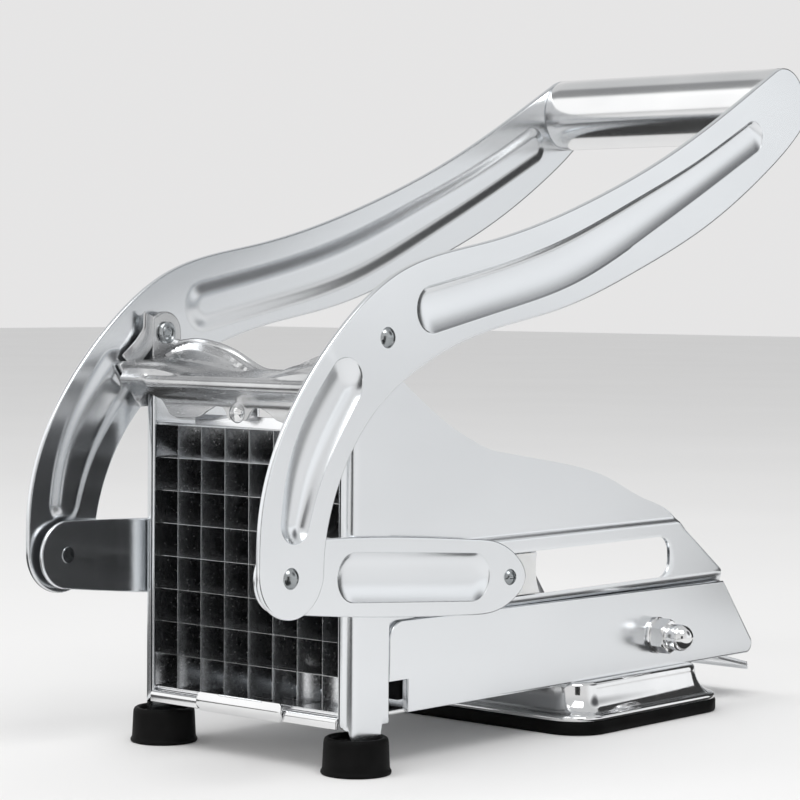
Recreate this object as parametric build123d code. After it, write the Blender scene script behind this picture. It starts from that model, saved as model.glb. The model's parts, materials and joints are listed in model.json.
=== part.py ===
from build123d import *
import os
from math import cos, radians, sin

# French fry cutter: a lever pulls a studded pusher through a steel box and drives a potato through
# a blade grid. Millimetres.
# The origin is the middle of the suction pad's underside. +X is the rear, where the grip is,
# -X is the blade end, and +Z is up. Right is +Y and left is -Y, as seen by a person behind the grip.
# Sheet parts are stacked outwards from the middle plane, so most widths are distances from y = 0.

LEFT, RIGHT = -1, 1
SIDES = {"left": LEFT, "right": RIGHT}

# Stack of sheets on each side, from the potato chamber outwards.
WALL_INNER, WALL_OUTER = 37.2, 38.2
CHANNEL_OUTER = 39.2
SKIRT_OUTER = 39.4
UPRIGHT_INNER, UPRIGHT_OUTER = 38.25, 39.45
BRACKET_INNER, BRACKET_OUTER = 39.5, 41.0
LINK_INNER, LINK_OUTER = 39.8, 41.1
ARM_INNER, ARM_OUTER = 42.8, 44.3

# Body.
FLOOR_BOTTOM, FLOOR_TOP = 14.4, 15.4
FLOOR_FRONT, FLOOR_REAR = -103.0, 33.0
NOTCH_TOP = 23.4
SKIRT_FRONT = -110.8
WALL_TOP = 103.8
FRONT_FACE = -126.8
UPRIGHT_REAR = -111.0
UPRIGHT_SHEET = 1.2
FLANGE_INNER = 35.3
FOOT_X, FOOT_Y = -121.0, 36.65
FOOT_TOP = 9.8

# Top bracket: its front fold, and its rear edge as distances from the middle plane with their heights.
BRACKET_SHEET = 1.2
FOLD_X, FOLD_Z = -135.9, 102.4
BRACKET_REAR = -111.6
BRACKET_CREST = (
    (0, 105.9),
    (6, 106.3),
    (11, 108.2),
    (17, 110.9),
    (25, 113.1),
    (33, 114.0),
    (BRACKET_INNER, 113.4),
)
BLADE_SCREW_Z = 94.5
BLADE_SCREW_RADIUS = 1.5

# Blade cartridge: eight by eight cells.
CELLS = 8
CELL_PITCH = 9.2
CARTRIDGE_FRONT, CARTRIDGE_REAR = -125.5, -113.4
CARTRIDGE_HALF_WIDTH = 37.0
CARTRIDGE_BOTTOM, CARTRIDGE_TOP = 15.5, 90.7
CARTRIDGE_SHEET = 0.8
BLADE_FRONT, BLADE_REAR = -124.6, -115.6
BLADE_THICK = 0.6
BLADE_SLOT = 0.7

# Linkage: handle pivot, rivet at the arms' lower end, and the rod that the links pull.
PIVOT_X, PIVOT_Z = -118.0, 115.5
CRANK_X, CRANK_Z = -154.4, 54.9
ROD_X, ROD_Z = -61.9, 47.9
GRIP_X, GRIP_Z = 71.0, 187.2
ROD_RADIUS = 4.0
LINK_SCREW_RADIUS, LINK_SCREW_LONG = 1.5, 8.0
GRIP_RADIUS = 11.7
RIVET_SHANK = 1.9
RUNNING_GAP = 0.05
# Middle line and half-width of the two fields that are pressed into each arm.
UPPER_RECESS = (
    (-100.0, 123.0, 7.7),
    (-70.5, 129.0, 7.6),
    (-40.0, 136.6, 8.0),
    (-6.0, 149.7, 7.3),
    (24.0, 162.5, 6.4),
    (53.0, 176.2, 6.3),
)
LOWER_RECESS = ((-153.0, 68.7, 6.0), (-150.5, 78.4, 7.0), (-143.6, 92.0, 7.7), (-134.2, 104.0, 7.4))
UPPER_DEPTH, LOWER_DEPTH = 2.6, 1.4
RECESS_WALL = 1.2

# Slots in the side walls for the pusher's shoes.
SLOT_BOTTOM, SLOT_TOP = 41.7, 54.1
SLOT_FRONT, SLOT_REAR = -96.0, 17.9
SLOT_CORNER = 5.0

# Pusher.
PUSHER_TIP = -103.4
STUD_LONG = 6.0
STUD_WIDE = 7.4
PUSHER_BASE_THICK = 6.0
PUSHER_HALF_WIDTH = 36.5
PUSHER_SCREW_RADIUS = 1.6
DISH_RIVET_RADIUS = 1.6

# Suction foot.
PAD_LONG, PAD_WIDE, PAD_CORNER = 75.0, 96.8, 11.0
PAD_THICK = 4.0
DISH_SHEET = 1.2
DISH_STEP = 3.0
BOLT_X, BOLT_Z = 11.1, 24.5
BOLT_RADIUS, BOLT_END = 3.0, 47.0
WASHER_THICK = 0.9
NOSE_Z = 27.4
LEVER_PIN_RADIUS = 1.5
STUD_RADIUS = 3.5
DISH_RIVET_X, DISH_RIVET_Y = 22.0, 31.0


def block(x0, x1, y0, y1, z0, z1):
    """Box between two corners."""
    return Pos((x0 + x1) / 2, (y0 + y1) / 2, (z0 + z1) / 2) * Box(x1 - x0, y1 - y0, z1 - z0)


def side_block(x0, x1, inner, outer, z0, z1, side):
    """Box between two distances from the middle plane, on one side."""
    low, high = sorted((side * inner, side * outer))
    return block(x0, x1, low, high, z0, z1)


def plate(face, inner, outer, side=RIGHT):
    """Face drawn in x and z, made solid between two distances from the middle plane."""
    low, high = sorted((side * inner, side * outer))
    plane = Plane(origin=(0, high, 0), x_dir=(1, 0, 0), z_dir=(0, -1, 0))
    return extrude(plane * face, amount=high - low, dir=(0, -1, 0))


def pin(x, z, radius, inner, outer, side=RIGHT):
    """Round bar along y between two distances from the middle plane."""
    low, high = sorted((side * inner, side * outer))
    plane = Plane(origin=(x, low, z), z_dir=(0, 1, 0))
    return plane * Cylinder(radius, high - low, align=(Align.CENTER, Align.CENTER, Align.MIN))


def screw_bar(x, y, z, radius, long):
    """Round bar along x that starts at x and runs to the rear."""
    plane = Plane(origin=(x, y, z), z_dir=(1, 0, 0))
    return plane * Cylinder(radius, long, align=(Align.CENTER, Align.CENTER, Align.MIN))


def post(x, y, radius, z0, z1):
    """Round bar along z."""
    return Pos(x, y, z0) * Cylinder(radius, z1 - z0, align=(Align.CENTER, Align.CENTER, Align.MIN))


def dome(x, z, radius, high, base, side):
    """Shallow round head that stands on the plane at distance base and rises outwards."""
    ball = (radius * radius + high * high) / (2 * high)
    centre = side * (base + high - ball)
    return Pos(x, centre, z) * Sphere(ball) & pin(x, z, radius + 1, base, base + high + 1, side)


def around(x, z, radius, angle):
    """Point at an angle in degrees on a circle in the x-z plane."""
    return (x + radius * cos(radians(angle)), z + radius * sin(radians(angle)))


def both(make):
    """One group of the same solid on both sides."""
    return Compound(children=[make(LEFT), make(RIGHT)])


# ---------------------------------------------------------------- body

def skirt_face():
    """Outline of the pan's outer skirt, with a notch behind the post's foot."""
    front_top = (-105.2, 39.6)
    front_low = (SKIRT_FRONT, 34.0)
    rear_top = (46.9, 38.1)
    rear_low = (62.9, 18.4)
    corner = (62.0, 15.1)
    rear_foot = (59.0, FLOOR_BOTTOM)
    notch = [(FLOOR_FRONT, FLOOR_BOTTOM), (FLOOR_FRONT, NOTCH_TOP), (SKIRT_FRONT, NOTCH_TOP)]
    edge = [
        Line(front_top, rear_top),
        Line(rear_top, rear_low),
        ThreePointArc(rear_low, corner, rear_foot),
        Polyline(rear_foot, *notch, front_low),
        ThreePointArc(front_low, (-109.1, 38.0), front_top),
    ]
    return make_face(edge)


def base_pan():
    pan = block(FLOOR_FRONT, FLOOR_REAR, -WALL_OUTER, WALL_OUTER, FLOOR_BOTTOM, FLOOR_TOP)
    for side in SIDES.values():
        pan += plate(skirt_face(), WALL_OUTER, SKIRT_OUTER, side)
        pan -= pin(BOLT_X, BOLT_Z, BOLT_RADIUS + RUNNING_GAP, WALL_OUTER - 1, SKIRT_OUTER + 1, side)
    pan -= post(0, 0, STUD_RADIUS + 0.7, FLOOR_BOTTOM - 1, FLOOR_TOP + 1)
    for x, y in dish_rivet_places():
        pan -= post(x, y, DISH_RIVET_RADIUS, FLOOR_BOTTOM - 1, FLOOR_TOP + 1)
    return pan


def wall_face():
    """Outline of a side wall: a high front, a soft shoulder and a fall to the rear."""
    crest = (-105.2, WALL_TOP)
    saddle = (-65.6, 83.3)
    rear_top = (22.5, 58.6)
    edge = [
        Line((CARTRIDGE_FRONT + 0.1, WALL_TOP), crest),
        Spline(crest, (-94.1, 96.3), (-84.0, 90.5), (-74.3, 86.2), saddle, tangents=[(1, -0.75), (1, -0.2)]),
        Spline(saddle, (-36.2, 78.7), (-12.2, 73.1), (5.0, 66.3), rear_top, tangents=[(1, -0.16), (1, -1)]),
        Polyline(rear_top, (26.1, 55.4), (45.4, 42.0), (47.5, 36.6), (61.5, 18.4), (58.5, FLOOR_TOP)),
        Polyline(
            (58.5, FLOOR_TOP),
            (FLOOR_FRONT, FLOOR_TOP),
            (FLOOR_FRONT, NOTCH_TOP),
            (CARTRIDGE_FRONT + 0.1, NOTCH_TOP),
            (CARTRIDGE_FRONT + 0.1, WALL_TOP),
        ),
    ]
    return make_face(edge)


def channel_face(grow):
    """Long field around the slot that is pressed outwards."""
    rear_top = 22.6 - 0.2 * grow
    return make_face(
        Polyline(
            (SLOT_FRONT - 4 - grow, 40.6 - grow),
            (SLOT_FRONT - 4 - grow, 57.9 + grow),
            (rear_top, 57.9 + grow),
            (46.0, 41.6),
            (46.4, 40.6 - grow),
            (SLOT_FRONT - 4 - grow, 40.6 - grow),
        )
    )


def side_wall(side):
    middle = ((SLOT_FRONT + SLOT_REAR) / 2, (SLOT_BOTTOM + SLOT_TOP) / 2)
    slot = Pos(*middle) * RectangleRounded(SLOT_REAR - SLOT_FRONT, SLOT_TOP - SLOT_BOTTOM, SLOT_CORNER)
    field = channel_face(0) & wall_face()
    wall = plate(wall_face(), WALL_INNER, WALL_OUTER, side)
    wall -= plate(field, WALL_INNER - 1, WALL_OUTER + 1, side)
    wall += plate(channel_face(1.0) & wall_face(), WALL_OUTER, CHANNEL_OUTER, side)
    wall -= plate(slot, WALL_OUTER - 1, CHANNEL_OUTER + 1, side)
    wall -= pin(BOLT_X, BOLT_Z, BOLT_RADIUS + RUNNING_GAP, WALL_INNER - 1, WALL_OUTER + 1, side)
    return wall


def upright(side):
    """Folded post: a side flange over the wall, a front flange before the cartridge and a tab in the foot."""
    side_flange = make_face(
        [
            Line((FRONT_FACE, 12.8), (FRONT_FACE, WALL_TOP)),
            Line((FRONT_FACE, WALL_TOP), (UPRIGHT_REAR + 4.0, WALL_TOP)),
            ThreePointArc((UPRIGHT_REAR + 4.0, WALL_TOP), (UPRIGHT_REAR + 1.2, 101.0), (UPRIGHT_REAR, 97.0)),
            Line((UPRIGHT_REAR, 97.0), (UPRIGHT_REAR, 12.8)),
            Line((UPRIGHT_REAR, 12.8), (FRONT_FACE, 12.8)),
        ]
    )
    post_sheet = plate(side_flange, UPRIGHT_INNER, UPRIGHT_OUTER, side)
    post_sheet += side_block(FRONT_FACE + 0.4, -115.0, UPRIGHT_INNER, UPRIGHT_OUTER, 5.0, 12.8, side)
    post_sheet += side_block(
        FRONT_FACE, FRONT_FACE + UPRIGHT_SHEET, FLANGE_INNER, UPRIGHT_OUTER, 13.8, WALL_TOP, side
    )
    bend = [
        edge
        for edge in post_sheet.edges().filter_by(Axis.Z)
        if abs(edge.center().X - FRONT_FACE) < 0.01 and abs(abs(edge.center().Y) - UPRIGHT_OUTER) < 0.01
    ]
    return fillet(bend, 1.1)


def foot(side):
    """Rubber foot with a thin lip at the floor and a pocket for the post."""
    cone = Cone(9.2, 8.6, FOOT_TOP, align=(Align.CENTER, Align.CENTER, Align.MIN))
    body = fillet(cone.edges().sort_by(Axis.Z)[-1], 0.6)
    body = Pos(FOOT_X, side * FOOT_Y, 0) * body
    body += post(FOOT_X, side * FOOT_Y, 9.5, 0, 1.2)
    return body - upright(side)


def bottom_rail():
    rail = block(CARTRIDGE_FRONT, FLOOR_FRONT - 0.1, -WALL_OUTER, WALL_OUTER, FLOOR_BOTTOM, FLOOR_TOP)
    rail += block(-127.6, CARTRIDGE_FRONT, -35.2, 35.2, FLOOR_BOTTOM, FLOOR_TOP)
    rail += block(-127.6, -126.6, -35.2, 35.2, 12.2, FLOOR_TOP)
    rail += block(-128.6, -127.6, -16.0, 16.0, 11.6, 17.2)
    return rail


def bracket_side(side):
    """Ear of the bracket with the handle's pivot hole."""
    ear_radius = 6.0
    ear_front = -121.5
    rise = (ear_radius**2 - (PIVOT_X - ear_front) ** 2) ** 0.5
    face = make_face(
        [
            Polyline(
                (ear_front, PIVOT_Z + rise),
                (ear_front, 108.2),
                (-122.6, 107.2),
                (-134.2, 107.6),
                (-135.8, 106.6),
                (-127.6, 94.6),
                (-123.0, 94.6),
                (PIVOT_X + ear_radius, 107.4),
                (PIVOT_X + ear_radius, PIVOT_Z),
            ),
            ThreePointArc(
                (PIVOT_X + ear_radius, PIVOT_Z),
                around(PIVOT_X, PIVOT_Z, ear_radius, 60),
                (ear_front, PIVOT_Z + rise),
            ),
        ]
    )
    ear = plate(face, BRACKET_INNER, BRACKET_OUTER, side)
    return ear - pin(PIVOT_X, PIVOT_Z, RIVET_SHANK + RUNNING_GAP, BRACKET_INNER - 1, BRACKET_OUTER + 1, side)


def bracket_apron():
    """Front of the bracket: straight down over the cartridge and flared out to the fold."""
    front, low, bend = -129.2, 92.4, 97.2
    top = FOLD_Z + BRACKET_SHEET
    section = Polyline(
        (front, low),
        (front, bend),
        (FOLD_X, FOLD_Z),
        (FOLD_X, top),
        (FOLD_X + 1.5, top),
        (front + BRACKET_SHEET, bend + 0.8),
        (front + BRACKET_SHEET, low),
        (front, low),
    )
    apron = plate(make_face(section), -BRACKET_INNER, BRACKET_INNER)
    for side in SIDES.values():
        apron -= side_block(front - 1, front + 2, 31.5, BRACKET_INNER, low, 96.0, side)
        apron -= side_block(front - 1, front + 2, 4.0, 14.5, low, 96.0, side)
    return apron - screw_bar(front - 1, 0, BLADE_SCREW_Z, BLADE_SCREW_RADIUS, 4)


def bracket_top():
    """Top of the bracket, from the straight fold back to an edge that dips in the middle."""
    mirrored = [(-y, z) for y, z in reversed(BRACKET_CREST[1:])]
    sections = [
        Wire.make_polygon(
            [
                (FOLD_X, y, FOLD_Z),
                (BRACKET_REAR, y, z - BRACKET_SHEET),
                (BRACKET_REAR, y, z),
                (FOLD_X, y, FOLD_Z + BRACKET_SHEET),
            ]
        )
        for y, z in [*mirrored, *BRACKET_CREST]
    ]
    return Solid.make_loft(sections, ruled=True)


def bridge_bracket():
    """Pressed sheet from ear to ear."""
    bracket = bracket_apron() + bracket_top()
    for side in SIDES.values():
        bracket += bracket_side(side)
        bracket -= pin(PIVOT_X, PIVOT_Z, 3.5, BRACKET_INNER - 2, BRACKET_INNER, side)
    return bracket


# ---------------------------------------------------------------- blade cartridge

def cell_lines():
    """Offsets of the blades from the middle of the grid."""
    return [CELL_PITCH * (i - CELLS / 2) for i in range(1, CELLS)]


def grid_centre():
    return (CARTRIDGE_BOTTOM + CARTRIDGE_TOP) / 2


def blade_frame():
    """Sheet box that is open in front and behind, with a pull tab and the screw's ear on top."""
    shell = block(
        CARTRIDGE_FRONT,
        CARTRIDGE_REAR,
        -CARTRIDGE_HALF_WIDTH,
        CARTRIDGE_HALF_WIDTH,
        CARTRIDGE_BOTTOM,
        CARTRIDGE_TOP,
    )
    shell -= block(
        CARTRIDGE_FRONT - 1,
        CARTRIDGE_REAR + 1,
        -CARTRIDGE_HALF_WIDTH + CARTRIDGE_SHEET,
        CARTRIDGE_HALF_WIDTH - CARTRIDGE_SHEET,
        CARTRIDGE_BOTTOM + CARTRIDGE_SHEET,
        CARTRIDGE_TOP - CARTRIDGE_SHEET,
    )
    shell += block(CARTRIDGE_FRONT, CARTRIDGE_FRONT + 1, -20, 20, CARTRIDGE_TOP - 0.4, 93.4)
    shell += block(CARTRIDGE_FRONT, CARTRIDGE_FRONT + 1, -3.8, 3.8, 93.0, 97.0)
    return shell - screw_bar(CARTRIDGE_FRONT - 1, 0, BLADE_SCREW_Z, BLADE_SCREW_RADIUS, 4)


def vertical_blades():
    """Upright strips, notched from behind where the level strips cross them."""
    low = CARTRIDGE_BOTTOM + CARTRIDGE_SHEET
    high = CARTRIDGE_TOP - CARTRIDGE_SHEET
    middle = (BLADE_FRONT + BLADE_REAR) / 2
    strips = []
    for y in cell_lines():
        strip = block(BLADE_FRONT, BLADE_REAR, y - BLADE_THICK / 2, y + BLADE_THICK / 2, low, high)
        for offset in cell_lines():
            z = grid_centre() + offset
            strip -= block(middle, BLADE_REAR + 1, y - 1, y + 1, z - BLADE_SLOT / 2, z + BLADE_SLOT / 2)
        strips.append(strip)
    return Compound(children=strips)


def horizontal_blades():
    """Level strips, notched from the front where the upright strips cross them."""
    reach = CARTRIDGE_HALF_WIDTH - CARTRIDGE_SHEET
    middle = (BLADE_FRONT + BLADE_REAR) / 2
    strips = []
    for offset in cell_lines():
        z = grid_centre() + offset
        strip = block(BLADE_FRONT, BLADE_REAR, -reach, reach, z - BLADE_THICK / 2, z + BLADE_THICK / 2)
        for y in cell_lines():
            strip -= block(BLADE_FRONT - 1, middle, y - BLADE_SLOT / 2, y + BLADE_SLOT / 2, z - 1, z + 1)
        strips.append(strip)
    return Compound(children=strips)


def blade_screw():
    """Screw through the apron into the cartridge's ear, with a rounded head in front."""
    seat, head_high = -129.2, 1.9
    head = screw_bar(seat - head_high, 0, BLADE_SCREW_Z, 2.8, head_high)
    head = fillet(head.edges().sort_by(Axis.X)[0], 0.8)
    return head + screw_bar(seat, 0, BLADE_SCREW_Z, BLADE_SCREW_RADIUS, 5.4)


# ---------------------------------------------------------------- handle

def arm_face():
    """Outline of an arm: round the rivet at its foot, back over the pivot and up to the grip."""
    foot_centre, foot_radius = (-153.9, 56.2), 12.0
    head_centre, head_radius = (70.8, 186.9), 11.9
    foot_front = around(*foot_centre, foot_radius, 180)
    foot_rear = around(*foot_centre, foot_radius, 0)
    head_front = around(*head_centre, head_radius, 118)
    head_rear = around(*head_centre, head_radius, -42)
    front_edge = Spline(
        foot_front,
        (-165.2, 71.0),
        (-158.4, 90.6),
        (-140.5, 113.7),
        (-113.4, 132.9),
        (-78.3, 141.2),
        (-26.1, 155.5),
        (8.4, 168.8),
        (46.4, 187.4),
        head_front,
        tangents=[(0, 1), (1.9, 1)],
    )
    rear_edge = Spline(
        head_rear,
        (62.6, 166.6),
        (24.6, 146.2),
        (-6.1, 134.4),
        (-44.4, 122.7),
        (-80.0, 115.9),
        (-105.0, 107.2),
        (-124.9, 93.9),
        (-137.2, 76.2),
        foot_rear,
        tangents=[(-0.75, -0.67), (0, -1)],
    )
    return make_face(
        [
            front_edge,
            ThreePointArc(head_front, around(*head_centre, head_radius, 38), head_rear),
            rear_edge,
            ThreePointArc(foot_rear, around(*foot_centre, foot_radius, -90), foot_front),
        ]
    )


def band_face(stations, inset):
    """Field with round ends around a row of (x, z, half-width) stations, drawn in by the inset."""
    upper, lower, headings = [], [], []
    for i, (x, z, half) in enumerate(stations):
        before, after = stations[max(i - 1, 0)], stations[min(i + 1, len(stations) - 1)]
        heading = Vector(after[0] - before[0], after[1] - before[1]).normalized()
        reach = half - inset
        headings.append(heading)
        upper.append((x - heading.Y * reach, z + heading.X * reach))
        lower.append((x + heading.Y * reach, z - heading.X * reach))
    first, last = stations[0], stations[-1]
    nose = (first[0] - headings[0].X * (first[2] - inset), first[1] - headings[0].Y * (first[2] - inset))
    tip = (last[0] + headings[-1].X * (last[2] - inset), last[1] + headings[-1].Y * (last[2] - inset))
    return make_face(
        [
            Spline(*upper),
            ThreePointArc(upper[-1], tip, lower[-1]),
            Spline(*reversed(lower)),
            ThreePointArc(lower[0], nose, upper[0]),
        ]
    )


def pressed(arm, stations, depth, side):
    """Presses a field of an arm inwards and keeps the sheet's thickness."""
    arm += plate(band_face(stations, 0), ARM_INNER - depth, ARM_INNER + 0.7, side)
    return arm - plate(band_face(stations, RECESS_WALL), ARM_OUTER - depth, ARM_OUTER + 1, side)


def handle_arm(side):
    arm = plate(arm_face(), ARM_INNER, ARM_OUTER, side)
    arm = pressed(arm, UPPER_RECESS, UPPER_DEPTH, side)
    arm = pressed(arm, LOWER_RECESS, LOWER_DEPTH, side)
    for x, z in ((PIVOT_X, PIVOT_Z), (CRANK_X, CRANK_Z)):
        arm -= pin(x, z, RIVET_SHANK, ARM_INNER - 1, ARM_OUTER + 1, side)
    return arm


def grip_tube():
    tube = pin(GRIP_X, GRIP_Z, GRIP_RADIUS, -ARM_INNER, ARM_INNER)
    return tube - pin(GRIP_X, GRIP_Z, GRIP_RADIUS - 1.2, -ARM_INNER - 1, ARM_INNER + 1)


def pivot_rivet(side):
    """Head on the arm, shank through the arm, bush and ear, and a closed end inside the ear."""
    rivet = dome(PIVOT_X, PIVOT_Z, 2.85, 1.5, ARM_OUTER, side)
    rivet += pin(PIVOT_X, PIVOT_Z, RIVET_SHANK, BRACKET_INNER - 0.2, ARM_OUTER, side)
    return rivet + pin(PIVOT_X, PIVOT_Z, 3.1, BRACKET_INNER - 1.2, BRACKET_INNER - 0.1, side)


def pivot_bush(side):
    bush = pin(PIVOT_X, PIVOT_Z, 5.0, BRACKET_OUTER + 0.1, ARM_INNER, side)
    return bush - pin(PIVOT_X, PIVOT_Z, RIVET_SHANK, BRACKET_OUTER, ARM_INNER + 1, side)


def link_rivet(side):
    """Head on the arm with a collar behind it that faces the link."""
    rivet = dome(CRANK_X, CRANK_Z, 2.8, 1.5, ARM_OUTER, side)
    rivet += pin(CRANK_X, CRANK_Z, RIVET_SHANK, ARM_INNER, ARM_OUTER, side)
    return rivet + pin(CRANK_X, CRANK_Z, 3.4, LINK_OUTER + 0.3, ARM_INNER, side)


# ---------------------------------------------------------------- links

def along_link(u, v):
    """Point at u towards the lower rivet and v above the link's middle line, counted from the rod."""
    heading = Vector(CRANK_X - ROD_X, CRANK_Z - ROD_Z).normalized()
    return (ROD_X + u * heading.X + v * heading.Y, ROD_Z + u * heading.Y - v * heading.X)


def link_face():
    """Outline of a link: round at the rivet, slightly waisted, and a blunt point behind the rod."""
    half = 10.5
    length = Vector(CRANK_X - ROD_X, CRANK_Z - ROD_Z).length
    nose_top, nose, nose_low = along_link(length, 9.4), along_link(length + 9.4, 0), along_link(length, -9.4)
    tail_top, tail, tail_low = along_link(15, half), along_link(-7.2, 0), along_link(15, -half)
    return make_face(
        [
            Spline(nose_top, along_link(60, half + 0.2), tail_top),
            Spline(tail_top, along_link(1.5, 8.3), tail, along_link(1.5, -8.3), tail_low),
            Spline(tail_low, along_link(60, -half), nose_low),
            ThreePointArc(nose_low, nose, nose_top),
        ]
    )


def link(side):
    bar = plate(link_face(), LINK_INNER, LINK_OUTER, side)
    field = band_face([(*along_link(u, 0), 6.7) for u in (65.2, 40, 15.9)], 0)
    bar -= plate(field, LINK_OUTER - 0.6, LINK_OUTER + 1, side)
    bar -= pin(ROD_X, ROD_Z, LINK_SCREW_RADIUS + RUNNING_GAP, LINK_INNER - 1, LINK_OUTER + 1, side)
    return bar - pin(CRANK_X, CRANK_Z, RIVET_SHANK, LINK_INNER - 1, LINK_OUTER + 1, side)


def link_rivet_tail(side):
    return pin(CRANK_X, CRANK_Z, RIVET_SHANK, LINK_INNER, LINK_OUTER, side)


def link_screw(side):
    seat = LINK_OUTER + 0.1
    screw = pin(ROD_X, ROD_Z, LINK_SCREW_RADIUS, LINK_INNER - LINK_SCREW_LONG, seat, side)
    return screw + dome(ROD_X, ROD_Z, 2.3, 1.4, seat, side)


# ---------------------------------------------------------------- pusher

def cross_rod():
    rod = pin(ROD_X, ROD_Z, ROD_RADIUS, -LINK_INNER + 0.2, LINK_INNER - 0.2)
    for side in SIDES.values():
        rod -= pin(ROD_X, ROD_Z, LINK_SCREW_RADIUS, LINK_INNER - LINK_SCREW_LONG, LINK_INNER, side)
    return rod


def slide_shoe(side):
    """Plastic shoe: a rib that runs in the slot and a flange inside the wall."""
    rear = ROD_X + 15.6
    rib = make_face(
        [
            Polyline((rear, 42.1), (ROD_X - 16, 42.1), (ROD_X - 16, 53.7), (rear - 1.4, 53.7)),
            ThreePointArc((rear - 1.4, 53.7), (rear - 1.9, 48.4), (rear, 42.1)),
        ]
    )
    shoe = plate(rib, WALL_INNER - 0.3, CHANNEL_OUTER + 0.4, side)
    flange = Pos(ROD_X, 48.0) * RectangleRounded(34, 20, 4)
    shoe += plate(flange, WALL_INNER - 1.8, WALL_INNER - 0.2, side)
    return shoe - pin(ROD_X, ROD_Z, ROD_RADIUS + RUNNING_GAP, 30, 42, side)


def rod_collar(side):
    collar = pin(ROD_X, ROD_Z, 6.2, 31.1, WALL_INNER - 1.9, side)
    return collar - pin(ROD_X, ROD_Z, ROD_RADIUS, 30, 40, side)


def pusher_base_rear():
    return PUSHER_TIP + STUD_LONG + PUSHER_BASE_THICK


def pusher_bracket():
    front = pusher_base_rear()
    bracket = block(front, front + 2, -31, 31, 28, 78)
    cheek = make_face(
        [
            Polyline((-58, 41.4), (-72, 36), (front, 28), (front, 78), (-84, 78), (-72, 58), (-58, 54.4)),
            ThreePointArc((-58, 54.4), (-54.2, 47.9), (-58, 41.4)),
        ]
    )
    for side in SIDES.values():
        bracket += plate(cheek, 29, 31, side)
        bracket -= pin(ROD_X, ROD_Z, ROD_RADIUS, 28, 32, side)
    for y, z in pusher_screw_places():
        bracket -= screw_bar(front - 1, y, z, PUSHER_SCREW_RADIUS, 4)
    return bracket


def pusher_screw_places():
    return [(y, z) for y in (-18.0, 18.0) for z in (36.0, 70.0)]


def pusher_block():
    rear = pusher_base_rear()
    middle = grid_centre()
    half = PUSHER_HALF_WIDTH
    body = block(rear - PUSHER_BASE_THICK, rear, -half, half, middle - half + 0.3, middle + half - 0.3)
    studs = [
        block(
            PUSHER_TIP,
            PUSHER_TIP + STUD_LONG,
            CELL_PITCH * (column - 3.5) - STUD_WIDE / 2,
            CELL_PITCH * (column - 3.5) + STUD_WIDE / 2,
            middle + CELL_PITCH * (row - 3.5) - STUD_WIDE / 2,
            middle + CELL_PITCH * (row - 3.5) + STUD_WIDE / 2,
        )
        for column in range(CELLS)
        for row in range(CELLS)
    ]
    body = body.fuse(*studs)
    for y, z in pusher_screw_places():
        body -= screw_bar(rear - 5, y, z, PUSHER_SCREW_RADIUS, 6)
    return body


def pusher_screws():
    rear = pusher_base_rear()
    screws = []
    for y, z in pusher_screw_places():
        head = screw_bar(rear + 2, y, z, 3.2, 1.8)
        head = fillet(head.edges().sort_by(Axis.X)[-1], 0.7)
        screws.append(head + screw_bar(rear - 5, y, z, PUSHER_SCREW_RADIUS, 7))
    return Compound(children=screws)


# ---------------------------------------------------------------- suction foot

def dish_rivet_places():
    return [(x, y) for x in (-DISH_RIVET_X, DISH_RIVET_X) for y in (-DISH_RIVET_Y, DISH_RIVET_Y)]


def suction_pad():
    """Rubber pad with a flat underside and a pocket where its middle lifts."""
    pad = extrude(RectangleRounded(PAD_LONG, PAD_WIDE, PAD_CORNER), amount=PAD_THICK)
    return pad - post(0, 0, 14.0, 1.0, PAD_THICK + 1)


def pad_centre():
    return post(0, 0, 13.6, 6.9, 9.7)


def suction_dish():
    """Pressed dish: a rim on the pad, sloping walls and a flat top under the pan."""
    wall_long, wall_wide = PAD_LONG - 2 * DISH_STEP, PAD_WIDE - 2 * DISH_STEP
    lean = 6
    rim = Pos(0, 0, PAD_THICK) * RectangleRounded(PAD_LONG - 0.6, PAD_WIDE - 0.6, PAD_CORNER - 0.3)
    dish = extrude(rim, amount=DISH_SHEET)
    outer = Pos(0, 0, PAD_THICK) * RectangleRounded(wall_long, wall_wide, 8)
    dish += extrude(outer, amount=FLOOR_BOTTOM - PAD_THICK, taper=lean)
    inner = Pos(0, 0, PAD_THICK) * RectangleRounded(wall_long - 2.4, wall_wide - 2.4, 6.8)
    dish -= extrude(inner, amount=FLOOR_BOTTOM - PAD_THICK - DISH_SHEET, taper=lean)
    dish -= post(0, 0, STUD_RADIUS + 0.7, FLOOR_BOTTOM - 3, FLOOR_TOP)
    for x, y in dish_rivet_places():
        dish -= post(x, y, DISH_RIVET_RADIUS, FLOOR_BOTTOM - 3, FLOOR_TOP)
    return dish


def dish_rivets():
    under = FLOOR_BOTTOM - DISH_SHEET
    rivets = []
    for x, y in dish_rivet_places():
        rivet = post(x, y, DISH_RIVET_RADIUS, under, FLOOR_TOP)
        rivet += post(x, y, 3.0, FLOOR_TOP, FLOOR_TOP + 0.9)
        rivets.append(rivet + post(x, y, 2.6, under - 0.9, under))
    return Compound(children=rivets)


def suction_stud():
    """Foot disc on the pad's middle, round stem and a flat eye with a level slot."""
    stud = post(0, 0, 11.0, 9.7, 11.2)
    stud += post(0, 0, STUD_RADIUS, 11.2, 22.6)
    stud += block(-5.5, 5.5, -2.5, 2.5, 22.6, NOSE_Z + 4.2)
    slot = Pos(0, NOSE_Z) * RectangleRounded(5.2, 3.6, 1.75)
    return stud - plate(slot, -4, 4)


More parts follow.
